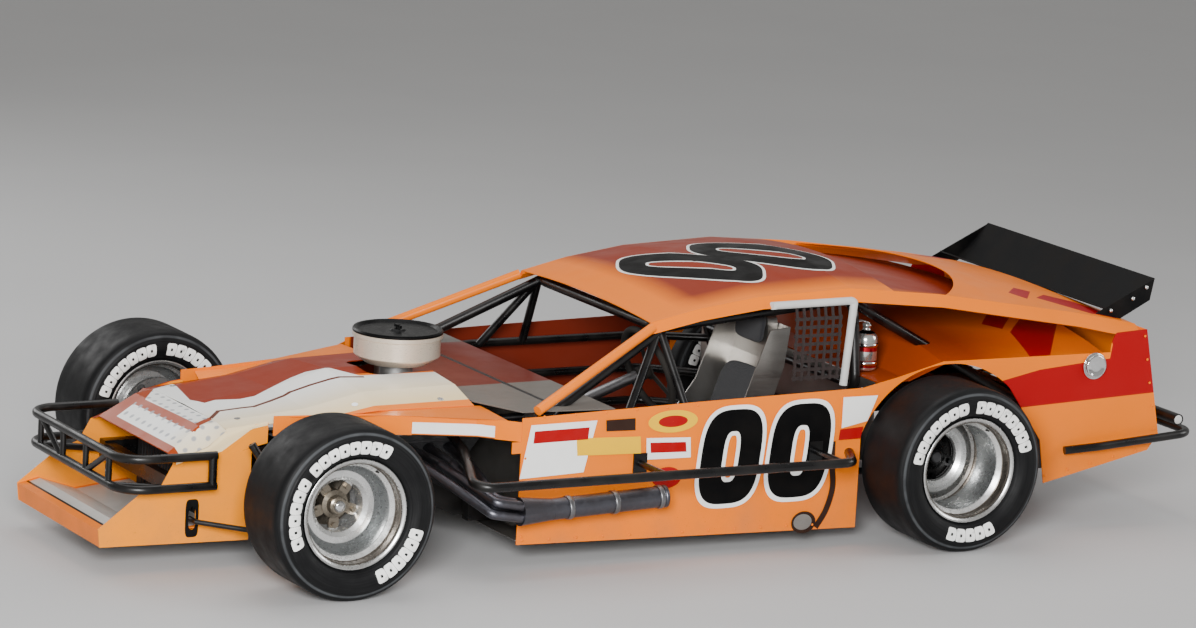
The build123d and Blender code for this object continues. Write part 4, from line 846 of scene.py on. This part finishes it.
# Wheel details as (axial, radial) outlines from the wheel's middle plane outwards
rimSegments = 128
lipProfile = [
    (0.1285, 0.2030),
    (0.1325, 0.2105),
    (0.1365, 0.2135),
    (0.1400, 0.2125),
    (0.1405, 0.2085),
    (0.1380, 0.2045),
    (0.1350, 0.1985),
    (0.1300, 0.1950),
]
discStep = [
    (-0.1235, 0.1680),
    (-0.1235, 0.1960),
    (-0.1150, 0.1960),
    (-0.1150, 0.1930),
    (-0.1170, 0.1700),
    (-0.1170, 0.1680),
]
valveProfile = [(0, 0.0001), (0, 0.0045), (0.016, 0.0042), (0.017, 0.0034), (0.030, 0.0034), (0.031, 0.0001)]
valveShape = {"radius": 0.182, "turn": 2.2, "out": 0.070}
capProfile = [(0, 0.0001), (0, 0.0225), (0.006, 0.0225), (0.010, 0.0205), (0.013, 0.015), (0.0145, 0.0001)]
for name, (x, y, side) in wheelPlaces.items():
    centre = (x, y, axleZ)
    outwards = (0, side, 0)
    body = name + "_wheel"
    tyre = lathePiece(name + "Tyre", tyreLine, centre, side, tyreShape["segments"], rubber, body)
    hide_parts(name + "_tyre")
    tyreMarks(name + "Marks", centre, side, body, markArcs[name], 1)
    tyreMarks(name + "InnerMarks", centre, side, body, markArcs[name], -1)
    lathePiece(name + "RimLip", lipProfile, centre, side, rimSegments, silver, body)
    if x < 0:
        lathePiece(name + "DiscStep", discStep, centre, side, rimSegments, rearWheelMetal, body)
    valveX = x + valveShape["radius"] * math.cos(valveShape["turn"])
    valveZ = axleZ + valveShape["radius"] * math.sin(valveShape["turn"])
    valveSpot = (valveX, y + side * valveShape["out"], valveZ)
    spunPiece(name + "Valve", valveProfile, valveSpot, outwards, 12, grip, body, closed=False)
    capDepth, capFinish = (0.001, chrome) if x > 0 else (0.110, castIron)
    capSpot = (x, y - side * capDepth, axleZ)
    spunPiece(name + "Cap", capProfile, capSpot, outwards, 32, capFinish, body, closed=False)
print("tyres and wheel pieces made")


# How far each layer of film stands off its panel
filmLift = {"panel": 0.0008, "edge": 0.001, "box": 0.0011, "bar": 0.0014, "core": 0.0016, "roof face": 0.002}


# Film on a side panel from a flat grid of (x, z)
def sideFilm(name, flat, material, side, layer, closed=False):
    points = gridPoints(flat[..., 0], side * (sideFace + filmLift[layer]), flat[..., 1])
    return skinPiece(name, points, material, closed)


# A grid of (x, z) spread evenly between four corners
def quadGrid(corners):
    share = np.linspace(0, 1, 9)
    u, v = share[:, None, None], share[None, :, None]
    a, b, c, d = (np.asarray(corner, float) for corner in corners)
    return (1 - u) * ((1 - v) * a + v * b) + u * ((1 - v) * d + v * c)


# A grid of (x, z) along a curve at the given width
def stripGrid(points, width):
    path = smoothLine(points, 40)
    along = unitOf(np.gradient(path, axis=0))
    across = np.stack([-along[:, 1], along[:, 0]], -1)
    return path[:, None, :] + np.linspace(-0.5, 0.5, 3)[None, :, None] * width * across[:, None, :]


# A grid of (x, z) over an oval, in rings round its centre
def ovalGrid(centre, size):
    return np.asarray(centre) + np.linspace(0.02, 1, 6)[:, None, None] * squareCircle(48) * size / 2


# A ring in the shape of a nought: both edges follow |u|^p + |v|^p = 1, scaled to the numeral's size. The ring's
# stroke is a little thinner at top and bottom, and growing widens it both ways.
def noughtRing(numeral, grow):
    unit = squareCircle(96, 2 / numeralPower)
    half = np.array((numeral["width"], numeral["height"])) / 2
    outer = unit * (half + grow)
    inner = unit * (half - np.array((1.0, 0.9)) * numeral["stroke"] - grow)
    share = np.linspace(0, 1, 5)[:, None, None]
    return outer * (1 - share) + inner * share


numeralPower = 3.2  # the higher, the squarer the noughts
doorNumerals = {
    "places": [(-0.163, 0.392), (-0.478, 0.398)],
    "width": 0.270,
    "height": 0.380,
    "stroke": 0.098,
    "outline": 0.017,
    "slant": 0.10,
}
doorLayers = (("Edge", doorNumerals["outline"], vinylWhite, "edge"), ("Face", 0.0, vinylBlack, "core"))
for mark, side in sides.items():
    for index, place in enumerate(doorNumerals["places"]):
        for part, grow, material, layer in doorLayers:
            ring = noughtRing(doorNumerals, grow)
            ring[..., 0] -= doorNumerals["slant"] * ring[..., 1]
            sideFilm(f"doorNumeral{mark[0]}{index}{part}", ring + place, material, side, layer, closed=True)

filmTable = {
    "doorPlate": ([(0.736, 0.570), (0.447, 0.573), (0.496, 0.370), (0.776, 0.360)], vinylWhite, "panel"),
    "doorPlateBar": ([(0.720, 0.545), (0.480, 0.548), (0.484, 0.500), (0.724, 0.497)], vinylRed, "bar"),
    "doorWhiteSquare": ([(-0.668, 0.603), (-0.829, 0.602), (-0.786, 0.5), (-0.668, 0.477)], vinylWhite, "panel"),
    "doorRedSquare": ([(-0.662, 0.472), (-0.770, 0.478), (-0.758, 0.430), (-0.657, 0.429)], vinylRed, "panel"),
    "doorStrip": ([(0.407, 0.571), (0.278, 0.572), (0.275, 0.524), (0.404, 0.527)], seamAndShadowDark, "panel"),
    "doorWhiteBox": ([(0.223, 0.489), (0.025, 0.481), (0.019, 0.400), (0.218, 0.403)], vinylWhite, "panel"),
    "doorWhiteBoxBar": ([(0.205, 0.470), (0.045, 0.464), (0.040, 0.424), (0.201, 0.429)], vinylRed, "bar"),
    "doorOrangeBox": ([(0.535, 0.507), (0.251, 0.498), (0.244, 0.430), (0.528, 0.437)], vinylYellow, "box"),
}
ovalTable = {
    "doorOval": ((0.108, 0.550), (0.222, 0.090), vinylYellow, "edge"),
    "doorOvalCore": ((0.108, 0.550), (0.130, 0.046), vinylRed, "core"),
    "doorBadge": ((0.122, 0.325), (0.130, 0.085), vinylRed, "edge"),
    "doorRound": ((-0.517, 0.102), (0.112, 0.090), seamAndShadowDark, "edge"),
    "doorRoundCore": ((-0.513, 0.104), (0.084, 0.064), tin, "core"),
}
seamWidth = 0.026
doorSeam = [(-0.630, 0.425), (-0.634, 0.335), (-0.643, 0.238), (-0.618, 0.146), (-0.575, 0.078)]
for mark, side in sides.items():
    for name, (corners, material, layer) in filmTable.items():
        sideFilm(name + mark, quadGrid(corners), material, side, layer)
    for name, (centre, size, material, layer) in ovalTable.items():
        sideFilm(name + mark, ovalGrid(centre, np.array(size)), material, side, layer, closed=True)
    sideFilm("doorSeam" + mark, stripGrid(doorSeam, seamWidth), seamAndShadowDark, side, "panel")
print("door film made")

# Film on the tapering side strip, whose plan line runs from the door's front corner in to the nose. Rows: low
# and high Z, film, lift before it is pressed onto the panel.
stripPlan = np.array([(0.74, 0.784), (0.84, 0.720), (1.20, 0.538), (1.64, 0.440)])
stripReach = (0.86, 1.14)
stripTable = {
    "stripWhite": (0.512, 0.556, vinylWhite, 0.0050),
    # stripShade is a painted shadow line under the white strip
    "stripShade": (0.500, 0.508, seamAndShadowDark, 0.0052),
}
for mark, side in sides.items():
    reachX = np.linspace(*stripReach, 24)[:, None]
    for name, (low, high, material, lift) in stripTable.items():
        outY = np.interp(reachX, *stripPlan.T) + lift
        piece = skinPiece(name + mark, gridPoints(reachX, side * outY, np.linspace(low, high, 4)), material)
        press = piece.modifiers.new("press", "SHRINKWRAP")
        press.target = nodes["left_side_panel" if side > 0 else "right_side_panel"]
        press.wrap_method = "NEAREST_SURFACEPOINT"
        press.wrap_mode = "ABOVE_SURFACE"
        press.offset = 0.0012

# Numerals on the roof, laid flat above it and pressed onto it. Across and up are their directions in (x, y).
roofNumerals = {
    "places": [(-0.350, 0.066), (-0.710, 0.010)],
    "width": 0.36,
    "height": 0.62,
    "stroke": 0.128,
    "outline": 0.013,
    "up": (-0.640, 0.770),
    "across": (0.480, 0.877),
    "startZ": 1.06,
}
roofLayers = (("Edge", roofNumerals["outline"], vinylWhite, "edge"), ("Face", 0.0, vinylBlack, "roof face"))
for index, place in enumerate(roofNumerals["places"]):
    for part, grow, material, layer in roofLayers:
        flat = place + noughtRing(roofNumerals, grow) @ np.array((roofNumerals["across"], roofNumerals["up"]))
        points = gridPoints(flat[..., 0], flat[..., 1], roofNumerals["startZ"])
        piece = skinPiece(f"roofNumeral{index}{part}", points, material, closed=True)
        pressUpright(piece, "roof_panel", filmLift[layer])
print("roof film made")

# Folded skins at the nose's sides: a flange from the hood's and cowl's edges down over the side plate's top,
# and the plate's rear part. Columns of a flange: x, upper y, upper z, lower z
flangeTable = [
    (1.672, 0.3960, 0.5535, 0.5400),
    (1.735, 0.3930, 0.5450, 0.5300),
    (1.838, 0.3720, 0.5290, 0.4820),
    (1.842, 0.3910, 0.5240, 0.4800),
    (1.915, 0.3915, 0.4680, 0.4480),
    (2.050, 0.3915, 0.4195, 0.4080),
]
cheekY = 0.4012
# Heights on a flange as shares of its depth; it folds over the first two fifths
flangeShares = np.array([0.0, 0.12, 0.24, 0.40, 0.60, 0.80, 1.0])
# Shelf between the hood's edge and the side strip's top. Columns: x, inner y, inner z, outer y, outer z
shelfTable = [
    (0.812, 0.4985, 0.5905, 0.7330, 0.5818),
    (0.840, 0.4965, 0.5902, 0.7180, 0.5818),
    (1.200, 0.4690, 0.5860, 0.5370, 0.5818),
    (1.436, 0.4100, 0.5560, 0.4850, 0.5800),
    (1.600, 0.3965, 0.5480, 0.4470, 0.5780),
]
plateRear = {"x": (1.735, 1.806), "top": (0.4552, 0.4400), "low": 0.095, "y": 0.4000}
slotEdge = {"x": 1.975, "y": 0.4010, "z": 0.195, "outer": (0.0275, 0.0740), "inner": (0.0150, 0.0450)}


# The columns of a table at evenly spaced X: first X, then the others by linear interpolation
def spreadTable(table, count):
    columns = np.array(table).T
    reachX = np.linspace(columns[0, 0], columns[0, -1], count)[:, None]
    return [reachX] + [np.interp(reachX, columns[0], column) for column in columns[1:]]


for mark, side in sides.items():
    flangeX, upperY, upperZ, lowerZ = spreadTable(flangeTable, 80)
    across = upperY + (cheekY - upperY) * np.clip(flangeShares / 0.4, 0, 1) ** 0.7
    points = gridPoints(flangeX, side * across, upperZ + (lowerZ - upperZ) * flangeShares)
    skinPiece("noseFlange" + mark, points, flangePaint)
    shelfX, innerY, innerZ, outerY, outerZ = spreadTable(shelfTable, 70)
    share = np.linspace(0, 1, 9)
    across = innerY + (outerY - innerY) * share
    points = gridPoints(shelfX, side * across, innerZ + (outerZ - innerZ) * share)
    skinPiece("hoodShelf" + mark, points, shelfPaint)
    plateX = np.linspace(*plateRear["x"], 8)[:, None]
    rise = (np.interp(plateX, plateRear["x"], plateRear["top"]) - plateRear["low"]) * np.linspace(0, 1, 14)
    points = gridPoints(plateX, side * plateRear["y"], plateRear["low"] + rise)
    skinPiece("nosePlateRear" + mark, points, noseSidePaint)
    # The black ring round the side plate's slot is painted shadow at the edge of the opening
    share = np.linspace(0, 1, 4)[:, None, None]
    outer, inner = squareCircle(64, 0.4) * slotEdge["outer"], squareCircle(64, (0.9, 0.6)) * slotEdge["inner"]
    ring = outer * (1 - share) + inner * share
    points = gridPoints(slotEdge["x"] + ring[..., 0], side * slotEdge["y"], slotEdge["z"] + ring[..., 1])
    skinPiece("noseSlotEdge" + mark, points, matteBlack, closed=True)
print("nose skins made")

fastenerShape = {"radius": 0.0055, "height": 0.0022}


# Small domes on a surface, one per place: a ring of points lifted by the dome's height towards the normal
def domes(name, places, normals, material, radius=None, height=None):
    radius = radius or fastenerShape["radius"]
    height = height or fastenerShape["height"]
    places = np.asarray(places, float)
    normals = unitOf(normals)
    helper = np.where(np.abs(normals[:, 2:3]) < 0.9, (0.0, 0.0, 1.0), (1.0, 0.0, 0.0))
    first = unitOf(np.cross(helper, normals))
    second = np.cross(normals, first)
    profile = np.array([(1.0, -0.3), (0.98, 0.2), (0.8, 0.65), (0.5, 0.88), (0.02, 1.0)]) * (radius, height)
    out, up = profile[None, :, 0, None, None], profile[None, :, 1, None, None]
    circle = (squareCircle(10) @ np.stack([first, second], 1))[:, None]
    points = places[:, None, None] + out * circle + up * normals[:, None, None]
    every = repeatQuads(gridQuads(len(profile), 10, closeColumns=True), len(places), len(profile) * 10)
    return meshPiece(name, points, every, material, "chassis")


# Evenly spaced places along a straight run, about the spacing apart
def alongLine(ends, spacing):
    length = math.dist(*ends)
    return np.linspace(*ends, max(2, int(length / spacing) + 1))


# Runs of rivets on the side panels: ends in (x, z), spacing
rivetRuns = [
    ([(0.75, 0.115), (-0.56, 0.090)], 0.11),
    ([(0.755, 0.13), (0.755, 0.44)], 0.10),
    ([(0.0, 0.607), (0.68, 0.600)], 0.12),
    ([(-1.66, 0.22), (-2.10, 0.300)], 0.10),
    ([(-2.185, 0.385), (-2.105, 0.780)], 0.09),
]
for mark, side in sides.items():
    flat = np.vstack([alongLine(points, spacing) for points, spacing in rivetRuns])
    places = gridPoints(flat[:, 0], side * sideFace, flat[:, 1])
    domes("bodyRivets" + mark, places, np.tile((0.0, side, 0.0), (len(places), 1)), sidePaint)
# Hood pins start above the hood at (x, y) and are pressed down onto it
pinSpots = [(1.755, 0.300), (1.755, -0.300), (1.30, 0.390), (1.30, -0.390), (0.95, 0.430), (0.95, -0.430)]
pinStartZ = 0.70
for index, (x, y) in enumerate(pinSpots):
    pin = domes(f"hoodPin{index}", [(x, y, pinStartZ)], [(0, 0, 1)], chrome, 0.013, 0.004)
    pressUpright(pin, "hood", 0.0015)
boltY = 0.634
boltSpots = [(-2.03, 0.860), (-2.136, 0.906), (-2.20, 0.950)]
spoilerBolts = [(x, side * boltY, z) for side in sides.values() for x, z in boltSpots]
boltNormals = [(0, np.sign(y), 0) for x, y, z in spoilerBolts]
domes("spoilerBolts", spoilerBolts, boltNormals, silver, 0.009, 0.006)
print("fasteners made")

# Window net: woven straps, over and under one another, hung by loops on a light bar. The straps run on past
# the outer crossings by the overrun. Loop ends are (y, z).
netShape = {
    "columns": [-0.735, -0.7017, -0.6683, -0.635, -0.6017, -0.5683, -0.535],
    "rows": [0.650, 0.6843, 0.7186, 0.7529, 0.7871, 0.8214, 0.8557, 0.890],
    "overrun": 0.011,
    "strap": 0.014,
    "thickness": 0.0016,
    "y": 0.616,
    "barRadius": 0.016,
    "barFront": (-0.420, 0.600, 0.948),
    "barCorner": [(-0.790, 0.600, 0.952), (-0.803, 0.601, 0.944), (-0.801, 0.603, 0.925)],
    "barFoot": (-0.770, 0.612, 0.610),
    "loopLow": (0.614, 0.893),
    "loopHigh": (0.602, 0.940),
}
ribbonRise = np.array([0.0, 0.5, 0.6, 0.5, 0.0]) * netShape["thickness"]
ribbon = np.stack([np.linspace(-0.5, 0.5, 5) * netShape["strap"], ribbonRise], -1)


# Straps of the net as one piece, each a ribbon along its path of equal length
def strapPiece(name, paths, starts):
    grids = np.array([carriedSection(path, ribbon, start) for path, start in zip(paths, starts)])
    count, rows, columns = grids.shape[:3]
    quads = repeatQuads(gridQuads(rows, columns), count, rows * columns)
    return meshPiece(name, grids, quads, netWebbing, "chassis")


# Y of a strap that passes the crossing ones in turn: a cosine that turns by pi from one crossing to the next
def weaveWave(spots, crossings, sign):
    turn = math.pi * (spots - crossings[0]) / (crossings[1] - crossings[0])
    return netShape["y"] + sign * netShape["thickness"] * 0.75 * np.cos(turn)


rowZ, columnX, overrun = netShape["rows"], netShape["columns"], netShape["overrun"]
spanZ = np.linspace(rowZ[0] - overrun, rowZ[-1] + overrun, 60)
spanX = np.linspace(columnX[0] - overrun, columnX[-1] + overrun, 60)
upright = [gridPoints(x, weaveWave(spanZ, rowZ, 1 if k % 2 else -1), spanZ) for k, x in enumerate(columnX)]
level = [gridPoints(spanX, weaveWave(spanX, columnX, -1 if k % 2 else 1), z) for k, z in enumerate(rowZ)]
net = strapPiece("windowNet", upright + level, [(1, 0, 0)] * len(upright) + [(0, 0, 1)] * len(level))
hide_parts("window_net")
barRuns = [
    np.linspace(netShape["barFront"], netShape["barCorner"][0], 20),
    smoothLine(netShape["barCorner"], 8)[1:],
    np.linspace(netShape["barCorner"][-1], netShape["barFoot"], 20)[1:],
]
barSection = squareCircle(14) * netShape["barRadius"]
sweptPiece("netBar", np.vstack(barRuns), barSection, (0, 0, 1), barWhite)
loopPaths = [np.linspace((x, *netShape["loopLow"]), (x, *netShape["loopHigh"]), 12) for x in columnX]
hanger = strapPiece("netLoops", loopPaths, [(1, 0, 0)] * len(loopPaths))
print("net made")

# Extinguisher bottle: banded shell, valve and handle, in the place of the plain bottle
bottlePlace = (-0.923, 0.520, 0.649)
bottleShell = [
    (0.000, 0.0005),
    (0.000, 0.040),
    (0.004, 0.0455),
    (0.010, 0.0475),
    (0.125, 0.0475),
    (0.140, 0.0440),
    (0.152, 0.0340),
    (0.160, 0.0200),
    (0.166, 0.0155),
    (0.176, 0.0155),
    (0.178, 0.0180),
    (0.188, 0.0180),
    (0.189, 0.0005),
]
bottleBands = [(0.662, 0.690, "bottle"), (0.728, 0.762, "bottle"), (0.800, 0.812, "black")]
bottleFinish = bandedMaterial("bottleFinish", (0.66, 0.68, 0.66), bottleBands)
shell = spunPiece(
    "bottleShell", bottleShell, bottlePlace, (0, 0, 1), 64, bottleFinish, closed=False
)
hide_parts("bottle")
clampProfile = [(-0.008, 0.0476), (-0.008, 0.0495), (0.008, 0.0495), (0.008, 0.0476)]
for index, height in enumerate((0.030, 0.105)):
    place = (bottlePlace[0], bottlePlace[1], bottlePlace[2] + height)
    spunPiece(f"bottleClamp{index}", clampProfile, place, (0, 0, 1), 64, chrome)
handleLine = [(-0.935, 0.520, 0.832), (-0.915, 0.520, 0.846), (-0.885, 0.520, 0.850), (-0.862, 0.520, 0.842)]
handleSection = squareCircle(12, 0.4) * (0.018 / 2, 0.006 / 2)
sweptPiece("bottleHandle", smoothLine(handleLine, 16), handleSection, (0, 1, 0), chrome)
print("bottle made")


# Coil springs, mirrored across the car: a wire swept along a helix between two points. Entries: low end, high
# end, coil radius, wire radius, turns
springTable = {
    "frontSpring": ((frontX + 0.060, 0.585, 0.277), (frontX + 0.150, 0.540, 0.431), 0.0365, 0.0055, 7),
    "rearSpring": ((rearX - 0.090, 0.560, 0.303), (rearX - 0.090, 0.560, 0.447), 0.0500, 0.0060, 6),
}
for mark, side in sides.items():
    for name, (low, high, radius, wire, turns) in springTable.items():
        low, high = low * np.array((1, side, 1)), high * np.array((1, side, 1))
        axis = unitOf(high - low)
        first = unitOf(np.cross(axis, (0.0, 1.0, 0.0)))
        share = np.linspace(0, 1, turns * 22)[:, None]
        turn = 2 * math.pi * turns * share
        helix = radius * (np.cos(turn) * first + np.sin(turn) * np.cross(axis, first))
        path = low + share * (high - low) + helix
        sweptPiece(name + mark, path, squareCircle(8) * wire, axis, springPaint)
print("springs made")

# Gauges on the dashboard: ring, face and glass rim, towards the driver. Columns: y, radius
gaugeTable = [(0.240, 0.040), (0.158, 0.027), (0.094, 0.027), (0.430, 0.027)]
gaugeX = 0.3313
gaugeZ = 0.548
for index, (y, radius) in enumerate(gaugeTable):
    faceMaterial = gaugeMaterial(f"gaugeFace{index}", (y, gaugeZ), radius * 0.86)
    face = [(0.0, 0.0003), (0.0, radius * 0.5), (0.0, radius * 0.88)]
    faceSpot = (gaugeX - 0.0012, y, gaugeZ)
    spunPiece(f"gaugeFace{index}", face, faceSpot, (-1, 0, 0), 40, faceMaterial, closed=False)
    bezelShares = [(0.0, 0.86), (0.006, 0.88), (0.008, 0.95), (0.004, 1.03), (-0.004, 1.04), (-0.004, 0.9)]
    bezel = [(axial, radius * share) for axial, share in bezelShares]
    spunPiece(f"gaugeBezel{index}", bezel, (gaugeX, y, gaugeZ), (-1, 0, 0), 40, chrome)


# A stuffed pad: a rounded slab, fuller in the middle, with sewn channels across it. The slab's point at (u, v)
# is pushed out by a crown that falls off to the edges and drawn in along each channel.
def padPiece(name, centre, along, across, size, channels):
    along, across = unitOf(along), unitOf(across)
    rows, columns = 65, 64
    lat = np.linspace(-math.pi / 2, math.pi / 2, rows)[:, None]
    u, v = (squareCircle(columns, 0.42)[None, :, axis] * np.abs(np.cos(lat)) ** 0.30 for axis in (0, 1))
    thick = np.broadcast_to(np.sign(np.sin(lat)) * np.abs(np.sin(lat)) ** 0.75, u.shape)
    crown = (1 - np.abs(u) ** 4) * (1 - np.abs(v) ** 4)
    groove = 1 - sum(0.34 * np.exp(-(((u - spot) / 0.045) ** 2)) for spot in channels)
    lift = np.where(thick > 0, thick * (0.55 + 0.45 * crown) * groove, thick * 0.8)
    waist = 1 - 0.035 * (1 - np.abs(thick)) * np.abs(u * v)
    shape = np.stack([u * waist, v * waist, lift], -1) * size
    points = np.asarray(centre, float) + shape @ np.array((along, across, np.cross(along, across)))
    quads = gridQuads(rows, columns, closeColumns=True)
    piece = meshPiece(name, points, quads, padCloth, "chassis")


seatX = -0.425
# Entries: centre, direction of the length, direction of the width, half sizes, channels along the length
padTable = {
    "seatCushion": (
        (seatX + 0.262, 0.330, 0.272),
        (0.28, 0, 0.05),
        (0, 1, 0),
        (0.128, 0.178, 0.026),
        (-0.5, 0, 0.5),
    ),
    "seatBack": (
        (seatX - 0.009, 0.330, 0.477),
        (-0.14, 0, 0.425),
        (0, 1, 0),
        (0.185, 0.172, 0.024),
        (-0.6, -0.2, 0.2, 0.6),
    ),
    "seatHead": ((seatX - 0.066, 0.330, 0.812), (-0.02, 0, 0.16), (0, 1, 0), (0.058, 0.108, 0.016), (0,)),
}
for name, shape in padTable.items():
    padPiece(name, *shape)
print("pads and gauges made")

# Exhaust clamps and black discs in the open ends as painted shadow, caps in the push bar's ends, and the
# filler's ring and domed lid
exhaustShape = {
    "y": 0.862,
    "start": (0.673, 0.252),
    "end": (0.175, 0.272),
    "mouthX": 0.1745,
    "slope": 0.04,
    "clamps": (0.60, 0.40, 0.20),
}
clampRing = [(-0.01, 0.0415), (-0.01, 0.0455), (-0.007, 0.047), (0.007, 0.047), (0.01, 0.0455), (0.01, 0.0415)]
endRing = [(-0.012, 0.04), (-0.012, 0.044), (0.003, 0.045), (0.004, 0.04), (0.001, 0.0385), (0.0006, 0.038)]
mouth = [(0.0006, 0.0004), (0.0006, 0.020), (0.0006, 0.0385)]
cap = [(0.0, 0.0004), (0.0, 0.012), (-0.001, 0.0185), (-0.006, 0.0196), (-0.012, 0.0196)]
fillerRing = [(-0.001, 0.05), (0.001, 0.0555), (0.004, 0.056), (0.006, 0.053), (0.006, 0.05), (0.002, 0.0485)]
fillerDome = [(0.0024, 0.0003), (0.0024, 0.02), (0.003, 0.036), (0.0062, 0.04), (0.006, 0.0455), (0.0002, 0.047)]
fillerPlace = (rearX - 0.748, 0.7845, 0.668)
lidPlace = (rearX - 0.748, 0.7962, 0.668)
capPlace = (rearX - 1.221, 0.7405, 0.406)
for mark, side in sides.items():
    pipeY, slope = side * exhaustShape["y"], exhaustShape["slope"]
    (startX, startZ), (endX, endZ) = exhaustShape["start"], exhaustShape["end"]
    for index, x in enumerate(exhaustShape["clamps"]):
        place = (x, pipeY, startZ + (endZ - startZ) * (startX - x) / (startX - endX))
        spunPiece(f"exhaustClamp{index}{mark}", clampRing, place, (1, 0, -slope), 48, steel)
    place, back = (exhaustShape["mouthX"], pipeY, endZ), (-1, 0, slope)
    spunPiece("exhaustEnd" + mark, endRing, place, back, 48, exhaustSteel)
    # A black disc in the pipe's mouth is painted shadow
    spunPiece("exhaustMouth" + mark, mouth, place, back, 48, matteBlack, closed=False)
    place = (capPlace[0], side * capPlace[1], capPlace[2])
    spunPiece("pushBarCap" + mark, cap, place, (0, side, 0), 40, barWhite, closed=False)
    if side > 0:
        spunPiece("fillerRing", fillerRing, fillerPlace, (0, 1, 0), 56, chrome)
        spunPiece("fillerDome", fillerDome, lidPlace, (0, 1, 0), 56, chrome, closed=False)
print("small parts made")

cameraData = bpy.data.cameras.new("photoCamera")
cameraData.sensor_width = 36.0
cameraData.lens = cameraLook["lens"]
cameraData.clip_end = 200
photoCamera = addObject("photoCamera", cameraData)
forward = Vector(cameraLook["forward"]).normalized()
flatRight = forward.cross(Vector((0, 0, 1))).normalized()
flatUp = flatRight.cross(forward)
roll = math.radians(cameraLook["roll"])
right = math.cos(roll) * flatRight + math.sin(roll) * flatUp
up = -math.sin(roll) * flatRight + math.cos(roll) * flatUp
turn = Matrix((right, up, -forward)).transposed().to_4x4()
photoCamera.matrix_world = Matrix.Translation(cameraLook["place"]) @ turn
bpy.context.scene.camera = photoCamera

floorMesh = bpy.data.meshes.new("studioFloor")
floorMesh.from_pydata([(-60, -60, 0), (60, -60, 0), (60, 60, 0), (-60, 60, 0)], [], [(0, 1, 2, 3)])
studioFloor = addObject("studioFloor", floorMesh)
floorMaterial, floorShader, floorPlace = startMaterial("studioFloor", (0.55, 0.55, 0.55), 0.75)
floorTint = mixColour(noise(floorPlace, 0.8), (0.56, 0.56, 0.56), (0.52, 0.52, 0.525))
feed(floorShader, "Base Color", floorTint)
floorMesh.materials.append(floorMaterial)

world = bpy.data.worlds.new("studioSky")
world.use_nodes = True
world.node_tree.nodes["Background"].inputs["Color"].default_value = (1.0, 0.985, 0.96, 1.0)
world.node_tree.nodes["Background"].inputs["Strength"].default_value = 0.42
bpy.context.scene.world = world

lampTable = {
    "keyLamp": {"place": (6.6, 10.2, 4.2), "aim": (0.0, 0.5, 0.3), "size": 3.2, "power": 2100},
    "topLamp": {"place": (0.0, -1.5, 6.0), "aim": (0.0, 0.0, 0.3), "size": 5.0, "power": 160},
    "rearLamp": {"place": (-7.0, 3.0, 3.2), "aim": (-1.0, 0.0, 0.5), "size": 3.0, "power": 170},
    "farLamp": {"place": (3.0, -8.0, 4.0), "aim": (0.5, 0.0, 0.5), "size": 4.0, "power": 170},
}
for name, lamp in lampTable.items():
    lampData = bpy.data.lights.new(name, "AREA")
    lampData.shape = "SQUARE"
    lampData.size = lamp["size"]
    lampData.energy = lamp["power"]
    lampObject = addObject(name, lampData)
    aim = Vector(lamp["aim"]) - Vector(lamp["place"])
    turn = aim.to_track_quat("-Z", "Y").to_matrix().to_4x4()
    lampObject.matrix_world = Matrix.Translation(lamp["place"]) @ turn
print("studio made")
